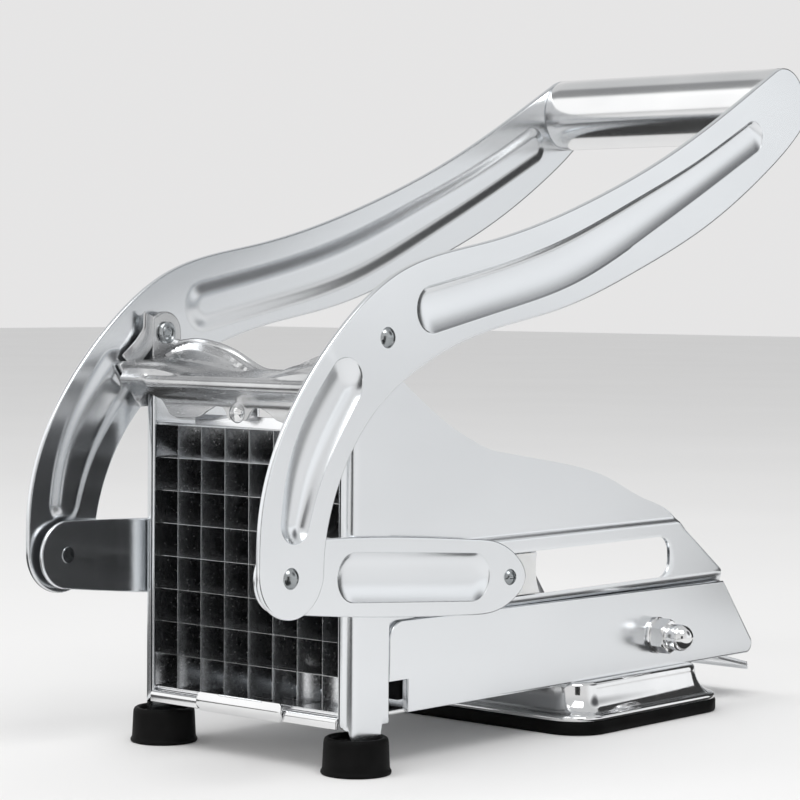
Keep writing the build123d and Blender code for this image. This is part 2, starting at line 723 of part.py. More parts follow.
def suction_lever():
    """Two cheeks on the cross bolt, a web between them and a wide paddle behind the dish."""
    nose_top, nose, nose_low = (0, 31.7), (-4.3, NOSE_Z), (0, 23.1)
    back = [(12, 31.7), (35, 28), (49, 16.9), (49, 13.4), (36, 17.6), (20, 18.3)]
    cheek = make_face([Polyline(nose_top, *back, nose_low), ThreePointArc(nose_low, nose, nose_top)])
    web = Polyline((18, 30.74), (35, 28), (49, 16.9), (48, 15.4), (34.4, 26.5), (18, 29.2), (18, 30.74))
    upper_side = [(47, 16.2), (51, 14.2), (66, 10.4), (67.6, 8.6)]
    lower_side = [(66.6, 7.9), (65.2, 9.2), (51, 12.7), (47, 14.2)]
    paddle = plate(make_face(Polyline(*upper_side, *lower_side, upper_side[0])), -36, 36)
    outline = extrude(Pos(55, 0) * RectangleRounded(28, 72, 4), amount=20)
    lever = plate(make_face(web), -7, 7) + (paddle & outline)
    for side in SIDES.values():
        lever += plate(cheek, 5.5, 7.0, side)
        lever -= pin(BOLT_X, BOLT_Z, BOLT_RADIUS + RUNNING_GAP, 5, 8, side)
        lever -= pin(0, NOSE_Z, LEVER_PIN_RADIUS, 5, 8, side)
    return lever


def lever_pin():
    return pin(0, NOSE_Z, LEVER_PIN_RADIUS, -7.6, 7.6)


def cross_bolt():
    return pin(BOLT_X, BOLT_Z, BOLT_RADIUS, -BOLT_END, BOLT_END)


def spacer_tube(side):
    tube = pin(BOLT_X, BOLT_Z, 4.6, 7.2, WALL_INNER, side)
    return tube - pin(BOLT_X, BOLT_Z, BOLT_RADIUS, 6, 40, side)


def bolt_washer(side):
    washer = pin(BOLT_X, BOLT_Z, 6.0, SKIRT_OUTER, SKIRT_OUTER + WASHER_THICK, side)
    return washer - pin(BOLT_X, BOLT_Z, BOLT_RADIUS, SKIRT_OUTER - 1, SKIRT_OUTER + 2, side)


def acorn_nut(side):
    """Hexagon with a dome over the bolt's end."""
    base = SKIRT_OUTER + WASHER_THICK
    hexagon_end = base + 5.0
    dome_centre, dome_radius = base + 7.2, 4.6
    plane = Plane(origin=(BOLT_X, side * base, BOLT_Z), x_dir=(1, 0, 0), z_dir=(0, side, 0))
    nut = extrude(plane * RegularPolygon(5.0, 6, major_radius=False), amount=5.0)
    nut += pin(BOLT_X, BOLT_Z, dome_radius, hexagon_end, dome_centre, side)
    ball = Pos(BOLT_X, side * dome_centre, BOLT_Z) * Sphere(dome_radius)
    nut += ball & pin(BOLT_X, BOLT_Z, dome_radius + 1, hexagon_end, dome_centre + 6, side)
    return nut - pin(BOLT_X, BOLT_Z, BOLT_RADIUS, base - 1, BOLT_END, side)


NODES = {
    "base_pan": base_pan(),
    "bottom_rail": bottom_rail(),
    "bridge_bracket": bridge_bracket(),
    "blade_frame": blade_frame(),
    "vertical_blades": vertical_blades(),
    "horizontal_blades": horizontal_blades(),
    "blade_screw": blade_screw(),
    "grip_tube": grip_tube(),
    "pivot_rivets": both(pivot_rivet),
    "pivot_bushes": both(pivot_bush),
    "link_rivets": both(link_rivet),
    "link_screws": both(link_screw),
    "cross_rod": cross_rod(),
    "rod_collars": both(rod_collar),
    "pusher_bracket": pusher_bracket(),
    "pusher_block": pusher_block(),
    "pusher_screws": pusher_screws(),
    "suction_pad": suction_pad(),
    "pad_centre": pad_centre(),
    "suction_dish": suction_dish(),
    "dish_rivets": dish_rivets(),
    "suction_stud": suction_stud(),
    "suction_lever": suction_lever(),
    "lever_pin": lever_pin(),
    "cross_bolt": cross_bolt(),
    "spacer_tubes": both(spacer_tube),
    "bolt_washers": both(bolt_washer),
    "acorn_nuts": both(acorn_nut),
}
for name, side in SIDES.items():
    NODES["side_wall_" + name] = side_wall(side)
    NODES["frame_upright_" + name] = upright(side)
    NODES["foot_" + name] = foot(side)
    NODES["handle_arm_" + name] = handle_arm(side)
    NODES["link_" + name] = link(side)
    NODES["link_rivet_tail_" + name] = link_rivet_tail(side)
    NODES["slide_shoe_" + name] = slide_shoe(side)

os.makedirs("parts", exist_ok=True)
for node, shape in NODES.items():
    export_step(shape, f"parts/{node}.step")
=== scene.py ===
import json
import math

import bmesh
import bpy
import numpy as np
from mathutils import Matrix, Vector
from mathutils.geometry import delaunay_2d_cdt


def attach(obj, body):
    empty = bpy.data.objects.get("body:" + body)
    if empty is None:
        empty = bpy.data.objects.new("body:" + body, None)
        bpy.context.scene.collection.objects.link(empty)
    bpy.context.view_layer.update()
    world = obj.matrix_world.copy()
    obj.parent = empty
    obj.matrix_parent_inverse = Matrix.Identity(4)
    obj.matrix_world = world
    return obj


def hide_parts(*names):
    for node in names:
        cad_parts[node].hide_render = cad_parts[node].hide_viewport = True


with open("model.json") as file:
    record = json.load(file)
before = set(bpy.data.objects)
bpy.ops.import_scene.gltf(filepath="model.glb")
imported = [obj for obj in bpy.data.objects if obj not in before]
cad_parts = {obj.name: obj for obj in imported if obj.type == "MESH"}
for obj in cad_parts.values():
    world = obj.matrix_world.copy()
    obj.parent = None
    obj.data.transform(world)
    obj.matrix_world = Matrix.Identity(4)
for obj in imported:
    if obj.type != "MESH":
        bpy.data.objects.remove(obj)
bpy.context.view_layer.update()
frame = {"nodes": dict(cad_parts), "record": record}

# Shapes are drawn in millimetres and made metres when a piece is built.
# +X is the rear, +Z is up, and a side's shapes are drawn for the right (+Y) and mirrored for the left.
MM = 0.001
SIDES = {"left": -1, "right": 1}

# Faces of the sheets, as distances from the middle plane.
WALL_INNER, WALL_OUTER, CHANNEL_OUTER = 37.2, 38.2, 39.2
SKIRT_OUTER = 39.4
POST_OUTER = 39.45
BRACKET_INNER, BRACKET_OUTER = 39.5, 41.0
LINK_INNER, LINK_OUTER = 39.8, 41.1
ARM_INNER, ARM_OUTER = 42.8, 44.3
NUT_BASE, NUT_TIP = 40.3, 52.1

# Joints of the linkage in x and z.
PIVOT = (-118.0, 115.5)
CRANK = (-154.4, 54.9)
ROD = (-61.9, 47.9)
GRIP = (71.0, 187.2)
BOLT = (11.1, 24.5)

# Fields that are pressed into the arms: x, z and half-width along their middle lines.
UPPER_RECESS = (
    (-100.0, 123.0, 7.7),
    (-70.5, 129.0, 7.6),
    (-40.0, 136.6, 8.0),
    (-6.0, 149.7, 7.3),
    (24.0, 162.5, 6.4),
    (53.0, 176.2, 6.3),
)
LOWER_RECESS = ((-153.0, 68.7, 6.0), (-150.5, 78.4, 7.0), (-143.6, 92.0, 7.7), (-134.2, 104.0, 7.4))

# Grid of blades: cells each way, their pitch and the height of the grid's middle.
CELLS = 8
CELL_PITCH = 9.2
GRID_Z = 53.1

# Heights of the pan's floor and of the walls, and the radius of the floor's hole for the suction stud.
FLOOR_BOTTOM, FLOOR_TOP = 14.4, 15.4
WALL_TOP = 103.8
STUD_HOLE = 4.2

# Slot in each side wall, and the notch in the walls and skirts behind each post's foot.
SLOT_FRONT, SLOT_REAR, SLOT_BOTTOM, SLOT_TOP, SLOT_CORNER = -96.0, 17.9, 41.7, 54.1, 5.0
NOTCH_X, NOTCH_Z = -103.0, 23.4

# Shading stays sharp at edges that turn by more degrees than this.
SHARP = 38.0


# ---------------------------------------------------------------- curves

def unit(vector):
    """The vector at length 1."""
    vector = np.asarray(vector, float)
    return vector / np.linalg.norm(vector)


def spline(points, start=None, end=None, step=1.3):
    """Points along a smooth curve through the given ones, with free or given headings at its ends."""
    p = np.array(points, float)
    gaps = np.linalg.norm(np.diff(p[:, :2], axis=0), axis=1)
    at = np.concatenate([[0.0], np.cumsum(gaps)])
    n = len(p)
    left, right = np.zeros((n, n)), np.zeros(p.shape)
    for i in range(1, n - 1):
        left[i, i - 1 : i + 2] = gaps[i], 2 * (gaps[i - 1] + gaps[i]), gaps[i - 1]
        right[i] = 3 * (gaps[i] * (p[i] - p[i - 1]) / gaps[i - 1] + gaps[i - 1] * (p[i + 1] - p[i]) / gaps[i])
    for row, beside, heading, gap in ((0, 1, start, gaps[0]), (n - 1, n - 2, end, gaps[-1])):
        if heading is None:
            left[row, row], left[row, beside] = 2, 1
            right[row] = 3 * (p[max(row, beside)] - p[min(row, beside)]) / gap
        else:
            left[row, row] = 1
            right[row, :2] = unit(heading)
    slope = np.linalg.solve(left, right)
    wanted = np.linspace(0, at[-1], max(3, round(at[-1] / step) + 1))
    k = np.clip(np.searchsorted(at, wanted, side="right") - 1, 0, n - 2)
    gap = gaps[k][:, None]
    t = ((wanted - at[k]) / gaps[k])[:, None]
    return (
        (2 * t**3 - 3 * t**2 + 1) * p[k]
        + (t**3 - 2 * t**2 + t) * gap * slope[k]
        + (3 * t**2 - 2 * t**3) * p[k + 1]
        + (t**3 - t**2) * gap * slope[k + 1]
    )


def arc(centre, radius, first, last, turn=6.0):
    """Points on a circle from one angle to another, in degrees."""
    angles = np.radians(np.linspace(first, last, max(3, round(abs(last - first) / turn) + 1)))
    return np.column_stack([centre[0] + radius * np.cos(angles), centre[1] + radius * np.sin(angles)])


def chain(*parts):
    """One closed loop from parts that meet, without the doubled points, run anticlockwise."""
    points = np.vstack([np.atleast_2d(np.array(part, float)) for part in parts])
    apart = np.linalg.norm(points - np.roll(points, 1, axis=0), axis=1) > 1e-3
    points = points[apart]
    x, z = points.T
    area = np.sum(x * np.roll(z, -1) - np.roll(x, -1) * z)
    return points if area > 0 else points[::-1]


def rounded_rectangle(long, wide, corner, turn=7.5, middle=(0.0, 0.0)):
    """Closed loop of a rectangle with round corners."""
    half_long, half_wide = long / 2 - corner, wide / 2 - corner
    corners = ((half_long, -half_wide, -90), (half_long, half_wide, 0), (-half_long, half_wide, 90))
    corners += ((-half_long, -half_wide, 180),)
    parts = [arc((middle[0] + x, middle[1] + y), corner, a, a + 90, turn) for x, y, a in corners]
    return chain(*parts)


def inset(loop, distance):
    """Anticlockwise loop moved inwards by a distance, with mitred corners."""
    before = loop - np.roll(loop, 1, axis=0)
    before = before / np.linalg.norm(before, axis=1)[:, None]
    after = np.roll(before, -1, axis=0)
    normals = [np.column_stack([-edge[:, 1], edge[:, 0]]) for edge in (before, after)]
    share = 1 + np.sum(normals[0] * normals[1], axis=1)
    return loop + distance * (normals[0] + normals[1]) / np.maximum(share, 0.3)[:, None]


def smooth_step(share):
    """0 up to a share of 0 and 1 from a share of 1, with a smooth rise between."""
    share = np.clip(share, 0, 1)
    return share * share * (3 - 2 * share)


def band(stations, drawn_in, lean=0.0, step=1.3, turn=9.0):
    """Loop round a row of (x, z, half-width) stations, and the deepest line's point for each of its points.
    lean moves the deepest line across, as a share of the half-width."""
    line = spline(stations, step=step)
    heading = np.gradient(line[:, :2], axis=0)
    heading /= np.linalg.norm(heading, axis=1)[:, None]
    across = np.column_stack([-heading[:, 1], heading[:, 0]])
    reach = (line[:, 2] - drawn_in)[:, None]
    lower, upper = line[:, :2] - across * reach, line[:, :2] + across * reach
    middle, deepest = line[:, :2], line[:, :2] + across * reach * lean
    start, end = (math.degrees(math.atan2(h[1], h[0])) for h in (heading[0], heading[-1]))
    end_cap = arc(middle[-1], reach[-1, 0], end - 90, end + 90, turn)[1:-1]
    start_cap = arc(middle[0], reach[0, 0], start + 90, start + 270, turn)[1:-1]
    loop = np.vstack([lower, end_cap, upper[::-1], start_cap])
    ends = [np.repeat(deepest[at][None], len(cap), 0) for at, cap in ((-1, end_cap), (0, start_cap))]
    spine = np.vstack([deepest, ends[0], deepest[::-1], ends[1]])
    return loop, spine


# ---------------------------------------------------------------- shapes

class Shape:
    """Points in millimetres and faces of one piece."""

    def __init__(self):
        self.points = []
        self.faces = []

    def add(self, points, faces):
        """More points, and faces that count from the first of them."""
        start = len(self.points)
        self.points.extend(tuple(float(c) for c in point) for point in points)
        self.faces.extend(tuple(start + i for i in face) for face in faces)

    def rows(self, rows, closed=True, capped=False):
        """Quads between rows of equally many points. closed joins each row's last point to its first, and
        capped fills the first and the last row with a face. Returns the shape."""
        rows = np.asarray(rows, float)
        count, width = rows.shape[:2]
        steps = width if closed else width - 1
        faces = []
        for a in range(count - 1):
            for b in range(steps):
                c = (b + 1) % width
                faces.append((a * width + b, a * width + c, (a + 1) * width + c, (a + 1) * width + b))
        self.add(rows.reshape(-1, 3), faces)
        if capped:
            for row in (rows[0], rows[-1]):
                self.add(row, [tuple(range(width))])
        return self

    def on_both_sides(self, other):
        """Another shape, drawn for the right, on both sides of the middle plane."""
        for side in SIDES.values():
            self.add([(x, side * y, z) for x, y, z in other.points], other.faces)

    def flat(self, outer, holes, y):
        """Level face at one y between a loop and its holes."""
        loops = [outer, *holes]
        points = np.vstack(loops)
        edges, start = [], 0
        for loop in loops:
            n = len(loop)
            edges += [(start + i, start + (i + 1) % n) for i in range(n)]
            start += n
        found, _, faces = delaunay_2d_cdt([Vector(p) for p in points], edges, [], 1, 1e-5)[:3]
        found = np.array([tuple(p) for p in found])
        kept = []
        for face in faces:
            middle = found[list(face)].mean(axis=0)
            if not any(inside(middle, hole) for hole in holes):
                kept.append(tuple(face))
        self.add(np.column_stack([found[:, 0], np.full(len(found), y), found[:, 1]]), kept)


def inside(point, loop):
    """True where a point lies inside a closed loop."""
    x, z = point
    x0, z0 = loop.T
    x1, z1 = np.roll(loop, -1, axis=0).T
    with np.errstate(divide="ignore", invalid="ignore"):
        crossing = ((z0 > z) != (z1 > z)) & (x < (x1 - x0) * (z - z0) / (z1 - z0) + x0)
    return bool(np.sum(crossing) % 2)


def at_y(loop, y):
    """Loop of x and z set at one y."""
    return np.column_stack([loop[:, 0], np.broadcast_to(y, len(loop)), loop[:, 1]])


# Width of the flat band that a sheet keeps beside its rims, and beside its pressed fields.
RIM_MARGIN, FIELD_MARGIN = 0.3, 0.35

# Rings of a pressed field, as shares of the way from its edge to its deepest line.
FIELD_SHARES = (0, 0.02, 0.05, 0.1, 0.15, 0.2, 0.27, 0.34, 0.42, 0.5, 0.6, 0.7, 0.8, 0.9, 1)


def rim_profile(outer, inner, edge, steps=4):
    """(inset, y) pairs from the outer face round a softened rim to the inner face."""
    turns = np.radians(np.linspace(0, 90, steps))
    out = [(edge * (1 - math.sin(a)), outer - edge * (1 - math.cos(a))) for a in turns]
    back = [(edge * (1 - math.sin(a)), inner + edge * (1 - math.cos(a))) for a in turns[::-1]]
    hold = edge + RIM_MARGIN
    return [(hold, outer), *out, *back, (hold, inner)]


class Field:
    """A field that is pressed into a sheet: its stations and depth, how far its edge is drawn in from them,
    how far its deepest line leans across, how round its bottom is, and how high the other side swells."""

    def __init__(self, stations, depth, wall=0.0, lean=0.0, roundness=2.0, swelling=0.0):
        self.stations, self.depth, self.wall = stations, depth, wall
        self.lean, self.roundness, self.swelling = lean, roundness, swelling

    def hollow(self, share):
        """Depth of the hollow side: a crisp lip, then a round bottom."""
        lip_depth, lip_width = 0.07, 0.02
        lip = lip_depth * min(1, share / lip_width)
        return self.depth * (lip + (1 - lip_depth) * (1 - (1 - share) ** self.roundness))

    def swell(self, share):
        """Height of the other side, with a soft foot and a soft top that starts before the deepest line."""
        steepness = 1.5
        return self.swelling * float(smooth_step(steepness * share))


def pressing(shape, field, drawn_in, lean, base, drop):
    """Rings of a pressed field. Returns the loop round it that the flat face joins."""
    loop, spine = band(field.stations, drawn_in, lean)
    hold = inset(loop, -FIELD_MARGIN)
    rows = [at_y(hold, base)]
    for share in FIELD_SHARES:
        rows.append(at_y(loop + share * (spine - loop), base - drop(share)))
    shape.rows(rows)
    return hold


def pressed_sheet(outline, outer, inner, holes=(), fields=(), edge=0.35):
    """Sheet in the x-z plane between two distances, with softened rims, holes and pressed fields."""
    shape = Shape()
    profile = rim_profile(outer, inner, edge)
    for loop, sign in [(outline, 1), *((hole, -1) for hole in holes)]:
        shape.rows([at_y(inset(loop, sign * distance), y) for distance, y in profile])
    hold = profile[0][0]
    bounds = [inset(hole, -hold) for hole in holes]
    hollow = [pressing(shape, field, field.wall, field.lean, outer, field.hollow) for field in fields]
    swollen = [pressing(shape, field, 0, 0, inner, field.swell) for field in fields if field.swelling]
    shape.flat(inset(outline, hold), bounds + hollow, outer)
    shape.flat(inset(outline, hold), bounds + swollen, inner)
    return shape


def turned(shape, profile, centre=(0, 0, 0), axis="y", count=64):
    """Adds a form that is turned about the y or z axis from (radius, distance along the axis) pairs."""
    angles = np.linspace(0, 2 * np.pi, count, endpoint=False)
    rows = []
    for radius, along in profile:
        a, b, c = radius * np.cos(angles), radius * np.sin(angles), np.full(count, along)
        columns = (a, c, b) if axis == "y" else (a, b, c)
        rows.append(np.column_stack(columns) + np.array(centre, float))
    return shape.rows(rows)


def thick(shape, grid, sheet, edge=0.3):
    """Adds a grid of points as a sheet with round rims, which lies on the side that the grid's normals point
    away from."""
    round_rim = ((0.12, 0.6), (0.3, 0.9), (0.7, 0.9), (0.88, 0.6))
    grid = np.asarray(grid, float)
    along, across = np.gradient(grid, axis=0), np.gradient(grid, axis=1)
    normal = np.cross(along, across)
    normal /= np.maximum(np.linalg.norm(normal, axis=2), 1e-9)[:, :, None]
    back = grid - sheet * normal
    shape.rows(grid, closed=False)
    shape.rows(back, closed=False)
    for front_row, back_row, beside in (
        (grid[0], back[0], grid[1]),
        (grid[-1], back[-1], grid[-2]),
        (grid[:, 0], back[:, 0], grid[:, 1]),
        (grid[:, -1], back[:, -1], grid[:, -2]),
    ):
        away = front_row - beside
        away /= np.maximum(np.linalg.norm(away, axis=1), 1e-9)[:, None]
        rim = [front_row]
        for share, bulge in round_rim:
            rim.append(front_row + share * (back_row - front_row) + edge * bulge * away)
        rim.append(back_row)
        shape.rows(rim, closed=False)
    return shape


def stacked(loops, capped=True):
    """Body from level loops of equally many points, with flat ends if capped. Each loop comes with its z."""
    return Shape().rows([np.column_stack([loop, np.full(len(loop), z)]) for loop, z in loops], capped=capped)


def round_hole(loop, radius):
    """Even circle with as many points as a rounded rectangle that starts at its lower right corner."""
    angles = np.linspace(0, 2 * np.pi, len(loop), endpoint=False) - np.pi / 2
    return radius * np.column_stack([np.cos(angles), np.sin(angles)])


# ---------------------------------------------------------------- pieces

def add_object(name, data):
    """New object in the scene."""
    made = bpy.data.objects.new(name, data)
    bpy.context.scene.collection.objects.link(made)
    return made


def place(name, mesh, body, finish, slot, nodes):
    """Object of a mesh with its finish, the body that it moves with and the CAD nodes that it stands for."""
    made = add_object(name, mesh)
    mesh.materials.clear()
    mesh.materials.append(finish)
    for polygon in mesh.polygons:
        polygon.material_index = 0
    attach(made, body)
    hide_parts(*nodes)


def shade(mesh, sharp=SHARP):
    """Smooth shading, apart from the sharp edges."""
    mesh.shade_smooth()
    mesh.set_sharp_from_angle(angle=math.radians(sharp))


def mesh_of(name, shape, side=1, sharp=SHARP):
    """Mesh of a shape, welded, with its faces turned outwards. side -1 mirrors it to the left."""
    weld, sliver = 2e-3, 1e-4
    mesh = bpy.data.meshes.new(name)
    mesh.from_pydata(shape.points, [], shape.faces)
    work = bmesh.new()
    work.from_mesh(mesh)
    if side < 0:
        bmesh.ops.scale(work, vec=(1, -1, 1), verts=work.verts)
    bmesh.ops.remove_doubles(work, verts=work.verts, dist=weld)
    bmesh.ops.dissolve_degenerate(work, edges=work.edges, dist=sliver)
    bmesh.ops.recalc_face_normals(work, faces=work.faces)
    bmesh.ops.scale(work, vec=(MM, MM, MM), verts=work.verts)
    work.to_mesh(mesh)
    work.free()
    shade(mesh, sharp)
    return mesh


def piece(name, shape, body, finish, slot, nodes):
    """Placed mesh of a shape."""
    place(name, mesh_of(name, shape), body, finish, slot, nodes)


def sided(name, shape, body, finish, slot, node):
    """A shape drawn for the right, as one piece on each side that stands for that side's CAD node. A body
    with {} in its name is the one of that side."""
    for side, sign in SIDES.items():
        full = f"{name}_{side}"
        place(full, mesh_of(full, shape, sign), body.format(side), finish, slot, [f"{node}_{side}"])


def mesh_from(work, name):
    """New mesh of a bmesh, which is freed."""
    mesh = bpy.data.meshes.new(name)
    work.to_mesh(mesh)
    work.free()
    return mesh


def round_edges(work, angle, width, segments=2):
    """Rounds the edges that turn by more than an angle in degrees."""
    sharp = [e for e in work.edges if e.is_manifold and e.calc_face_angle(0) > math.radians(angle)]
    bmesh.ops.bevel(
        work,
        geom=sharp,
        offset=width,
        offset_type="OFFSET",
        segments=segments,
        profile=0.5,
        affect="EDGES",
        clamp_overlap=True,
    )


def softened(name, node, body, finish, slot, width, segments=2):
    """The CAD node's own solid with its sharp edges rounded."""
    weld, level, sharp = 2e-6, 1.0, 32
    work = bmesh.new()
    work.from_mesh(frame["nodes"][node].data)
    bmesh.ops.remove_doubles(work, verts=work.verts, dist=weld)
    bmesh.ops.dissolve_limit(work, angle_limit=math.radians(level), verts=work.verts, edges=work.edges)
    round_edges(work, sharp, width * MM, segments)
    mesh = mesh_from(work, name)
    shade(mesh)
    place(name, mesh, body, finish, slot, [node])


def row_tree():
    """Geometry nodes that set an item in a row: a count of them, a step apart, each turned on by an angle."""
    tree = bpy.data.node_groups.new("row_of_items", "GeometryNodeTree")
    sockets = (
        ("Geometry", "NodeSocketGeometry"),
        ("Item", "NodeSocketObject"),
        ("Count", "NodeSocketInt"),
        ("Start", "NodeSocketVector"),
        ("Step", "NodeSocketVector"),
        ("Turn", "NodeSocketVector"),
        ("Finish", "NodeSocketMaterial"),
    )
    for name, kind in sockets:
        tree.interface.new_socket(name=name, in_out="INPUT", socket_type=kind)
    tree.interface.new_socket(name="Geometry", in_out="OUTPUT", socket_type="NodeSocketGeometry")
    nodes = Nodes(tree)
    given = nodes.add("NodeGroupInput").outputs
    places = {"Count": given["Count"], "Start Location": given["Start"], "Offset": given["Step"]}
    line = nodes.add("GeometryNodeMeshLine", places, mode="OFFSET")
    item = nodes.add("GeometryNodeObjectInfo", {"Object": given["Item"]}, transform_space="ORIGINAL")
    index = nodes.add("GeometryNodeInputIndex").outputs["Index"]
    turn = nodes.add("ShaderNodeVectorMath", {0: given["Turn"], "Scale": index}, operation="SCALE")
    rotation = nodes.add("FunctionNodeEulerToRotation", {"Euler": turn.outputs["Vector"]})
    instances = nodes.add(
        "GeometryNodeInstanceOnPoints",
        {
            "Points": line.outputs["Mesh"],
            "Instance": item.outputs["Geometry"],
            "Rotation": rotation.outputs["Rotation"],
        },
    )
    real = nodes.add("GeometryNodeRealizeInstances", {"Geometry": instances.outputs["Instances"]})
    dressed = {"Geometry": real.outputs["Geometry"], "Material": given["Finish"]}
    finish = nodes.add("GeometryNodeSetMaterial", dressed)
    nodes.add("NodeGroupOutput", {"Geometry": finish.outputs["Geometry"]})
    return tree


def row(name, mesh, count, start, step=(0, 0, 0), turn=(0, 0, 0), finish=None):
    """Mesh of a row of items. start and step are in millimetres, turn is the angle from item to item."""
    item = add_object(name + "_item", mesh)
    holder = add_object(name + "_row", bpy.data.meshes.new(name + "_row"))
    modifier = holder.modifiers.new("row", "NODES")
    modifier.node_group = ROW_TREE
    values = {
        "Item": item,
        "Count": count,
        "Start": [c * MM for c in start],
        "Step": [c * MM for c in step],
        "Turn": [math.radians(c) for c in turn],
        "Finish": finish,
    }
    for socket in ROW_TREE.interface.items_tree:
        if socket.in_out == "INPUT" and socket.name in values:
            modifier[socket.identifier] = values[socket.name]
    bpy.context.view_layer.update()
    graph = bpy.context.evaluated_depsgraph_get()
    made = bpy.data.meshes.new_from_object(holder.evaluated_get(graph))
    made.name = name
    for temporary in (item, holder):
        bpy.data.objects.remove(temporary)
    return made


def pair(name, shape, place_x, place_z, body, finish, slot, nodes):
    """A shape drawn for the right side at x = z = 0, set on both sides of the object at one x and z."""
    mesh = mesh_of(name, shape)
    both = row(name, mesh, 2, (place_x, 0, place_z), turn=(0, 0, 180), finish=finish)
    place(name, both, body, finish, slot, nodes)


# ---------------------------------------------------------------- finishes

class Nodes:
    """Small helper for a node tree."""

    def __init__(self, tree):
        self.tree = tree

    def add(self, kind, inputs=None, **settings):
        """New node with its settings, and with a value or a link from a socket for each of its inputs."""
        node = self.tree.nodes.new(kind)
        for key, value in settings.items():
            setattr(node, key, value)
        for key, value in (inputs or {}).items():
            self.feed(node.inputs[key], value)
        return node

    def feed(self, socket, value):
        """Links a socket to an input, or sets the input to a value."""
        if isinstance(value, bpy.types.NodeSocket):
            self.tree.links.new(value, socket)
        else:
            socket.default_value = value

    def noise(self, grain, detail=3.0, roughness=0.55):
        """Noise in Object coordinates whose grains are 1 / grain millimetres long in x, y and z."""
        coordinates = self.add("ShaderNodeTexCoord").outputs["Object"]
        stretch = [g / MM for g in grain]
        mapping = self.add("ShaderNodeMapping", {"Vector": coordinates, "Scale": stretch})
        fine = {"Vector": mapping.outputs["Vector"], "Scale": 1.0, "Detail": detail, "Roughness": roughness}
        return self.add("ShaderNodeTexNoise", fine).outputs["Fac"]

    def ranged(self, value, low, high, to_low, to_high):
        """A value stretched from one range to another."""
        ends = {"Value": value, "From Min": low, "From Max": high, "To Min": to_low, "To Max": to_high}
        return self.add("ShaderNodeMapRange", ends).outputs["Result"]

    def facing_inwards(self):
        """1 where a surface faces the middle plane, 0 where it faces away: the mask of the painted shade on
        inward faces.
        """
        coordinates = self.add("ShaderNodeTexCoord").outputs
        place, normal = (
            self.add("ShaderNodeSeparateXYZ", {"Vector": coordinates[name]}).outputs["Y"]
            for name in ("Object", "Normal")
        )
        side = self.add("ShaderNodeMath", {0: place}, operation="SIGN").outputs["Value"]
        outwards = self.add("ShaderNodeMath", {0: side, 1: normal}, operation="MULTIPLY")
        return self.ranged(outwards.outputs["Value"], 0.2, -0.2, 0, 1)

    def mixed(self, share, first, second):
        """Colour between two colours or colour sockets."""
        node = self.add("ShaderNodeMix", {"Factor": share}, data_type="RGBA")
        for key, value in (("A", first), ("B", second)):
            socket = [s for s in node.inputs if s.name == key and s.type == "RGBA"][0]
            self.feed(socket, value if isinstance(value, bpy.types.NodeSocket) else (*value, 1.0))
        return [s for s in node.outputs if s.type == "RGBA"][0]


def new_finish(name):
    """Material with one shader, and the helper for its nodes."""
    material = bpy.data.materials.new(name)
    material.use_nodes = True
    material.node_tree.nodes.clear()
    nodes = Nodes(material.node_tree)
    shader = nodes.add("ShaderNodeBsdfPrincipled")
    nodes.add("ShaderNodeOutputMaterial", {"Surface": shader.outputs["BSDF"]})
    return material, nodes, shader


def finish_grain(nodes, shader, grain, roughness, bump, relief):
    """Roughness between two values and a bump of a relief in millimetres, both after the same grain."""
    nodes.feed(shader.inputs["Roughness"], nodes.ranged(grain, 0.3, 0.7, *roughness))
    bumped = nodes.add("ShaderNodeBump", {"Strength": bump, "Distance": relief * MM, "Height": grain})
    nodes.feed(shader.inputs["Normal"], bumped.outputs["Normal"])


# Pointiness at which the painted highlight on rims begins and is full, the same for the painted shade in
# creases, and their tones.
RIM_HIGHLIGHT_FROM, RIM_HIGHLIGHT_TO, RIM_HIGHLIGHT_TONE = 0.53, 0.63, 1.12
CREASE_SHADE_FROM, CREASE_SHADE_TO, CREASE_SHADE_TONE = 0.473, 0.43, 0.2


def metal(name, dull, bright, roughness, grain, cloud, bump, rim_highlight=0.0, crease_shade=0.0, inner=1.0):
    """Steel with a drawn grain and soft clouds in its colour and gloss. A painted highlight brightens its
    rims by the rim setting, painted shade darkens its creases by the crease setting, and painted shade leaves
    what faces the middle plane the inner share of the colour."""
    streak_tone, relief = 0.15, 0.05
    material, nodes, shader = new_finish(name)
    shader.inputs["Metallic"].default_value = 1.0
    streaks = nodes.noise(grain, detail=4.0)
    clouds = nodes.noise(cloud, detail=2.0)
    tone = nodes.mixed(nodes.ranged(clouds, 0.35, 0.65, 0, 1), dull, bright)
    tone = nodes.mixed(nodes.ranged(streaks, 0.3, 0.75, 0, streak_tone), tone, dull)
    # Painted highlight on the rims and painted shade in the creases, both found by pointiness.
    if rim_highlight:
        pointiness = nodes.add("ShaderNodeNewGeometry").outputs["Pointiness"]
        edges = nodes.ranged(pointiness, RIM_HIGHLIGHT_FROM, RIM_HIGHLIGHT_TO, 0, rim_highlight)
        tone = nodes.mixed(edges, tone, tuple(min(1.0, RIM_HIGHLIGHT_TONE * c) for c in bright))
        crease_shade_mask = nodes.ranged(pointiness, CREASE_SHADE_FROM, CREASE_SHADE_TO, 0, crease_shade)
        tone = nodes.mixed(crease_shade_mask, tone, tuple(CREASE_SHADE_TONE * c for c in dull))
    # Painted shade on what faces the middle plane.
    if inner < 1:
        tone = nodes.mixed(nodes.facing_inwards(), tone, tuple(inner * c for c in dull))
    nodes.feed(shader.inputs["Base Color"], tone)
    finish_grain(nodes, shader, streaks, roughness, bump, relief)
    return material


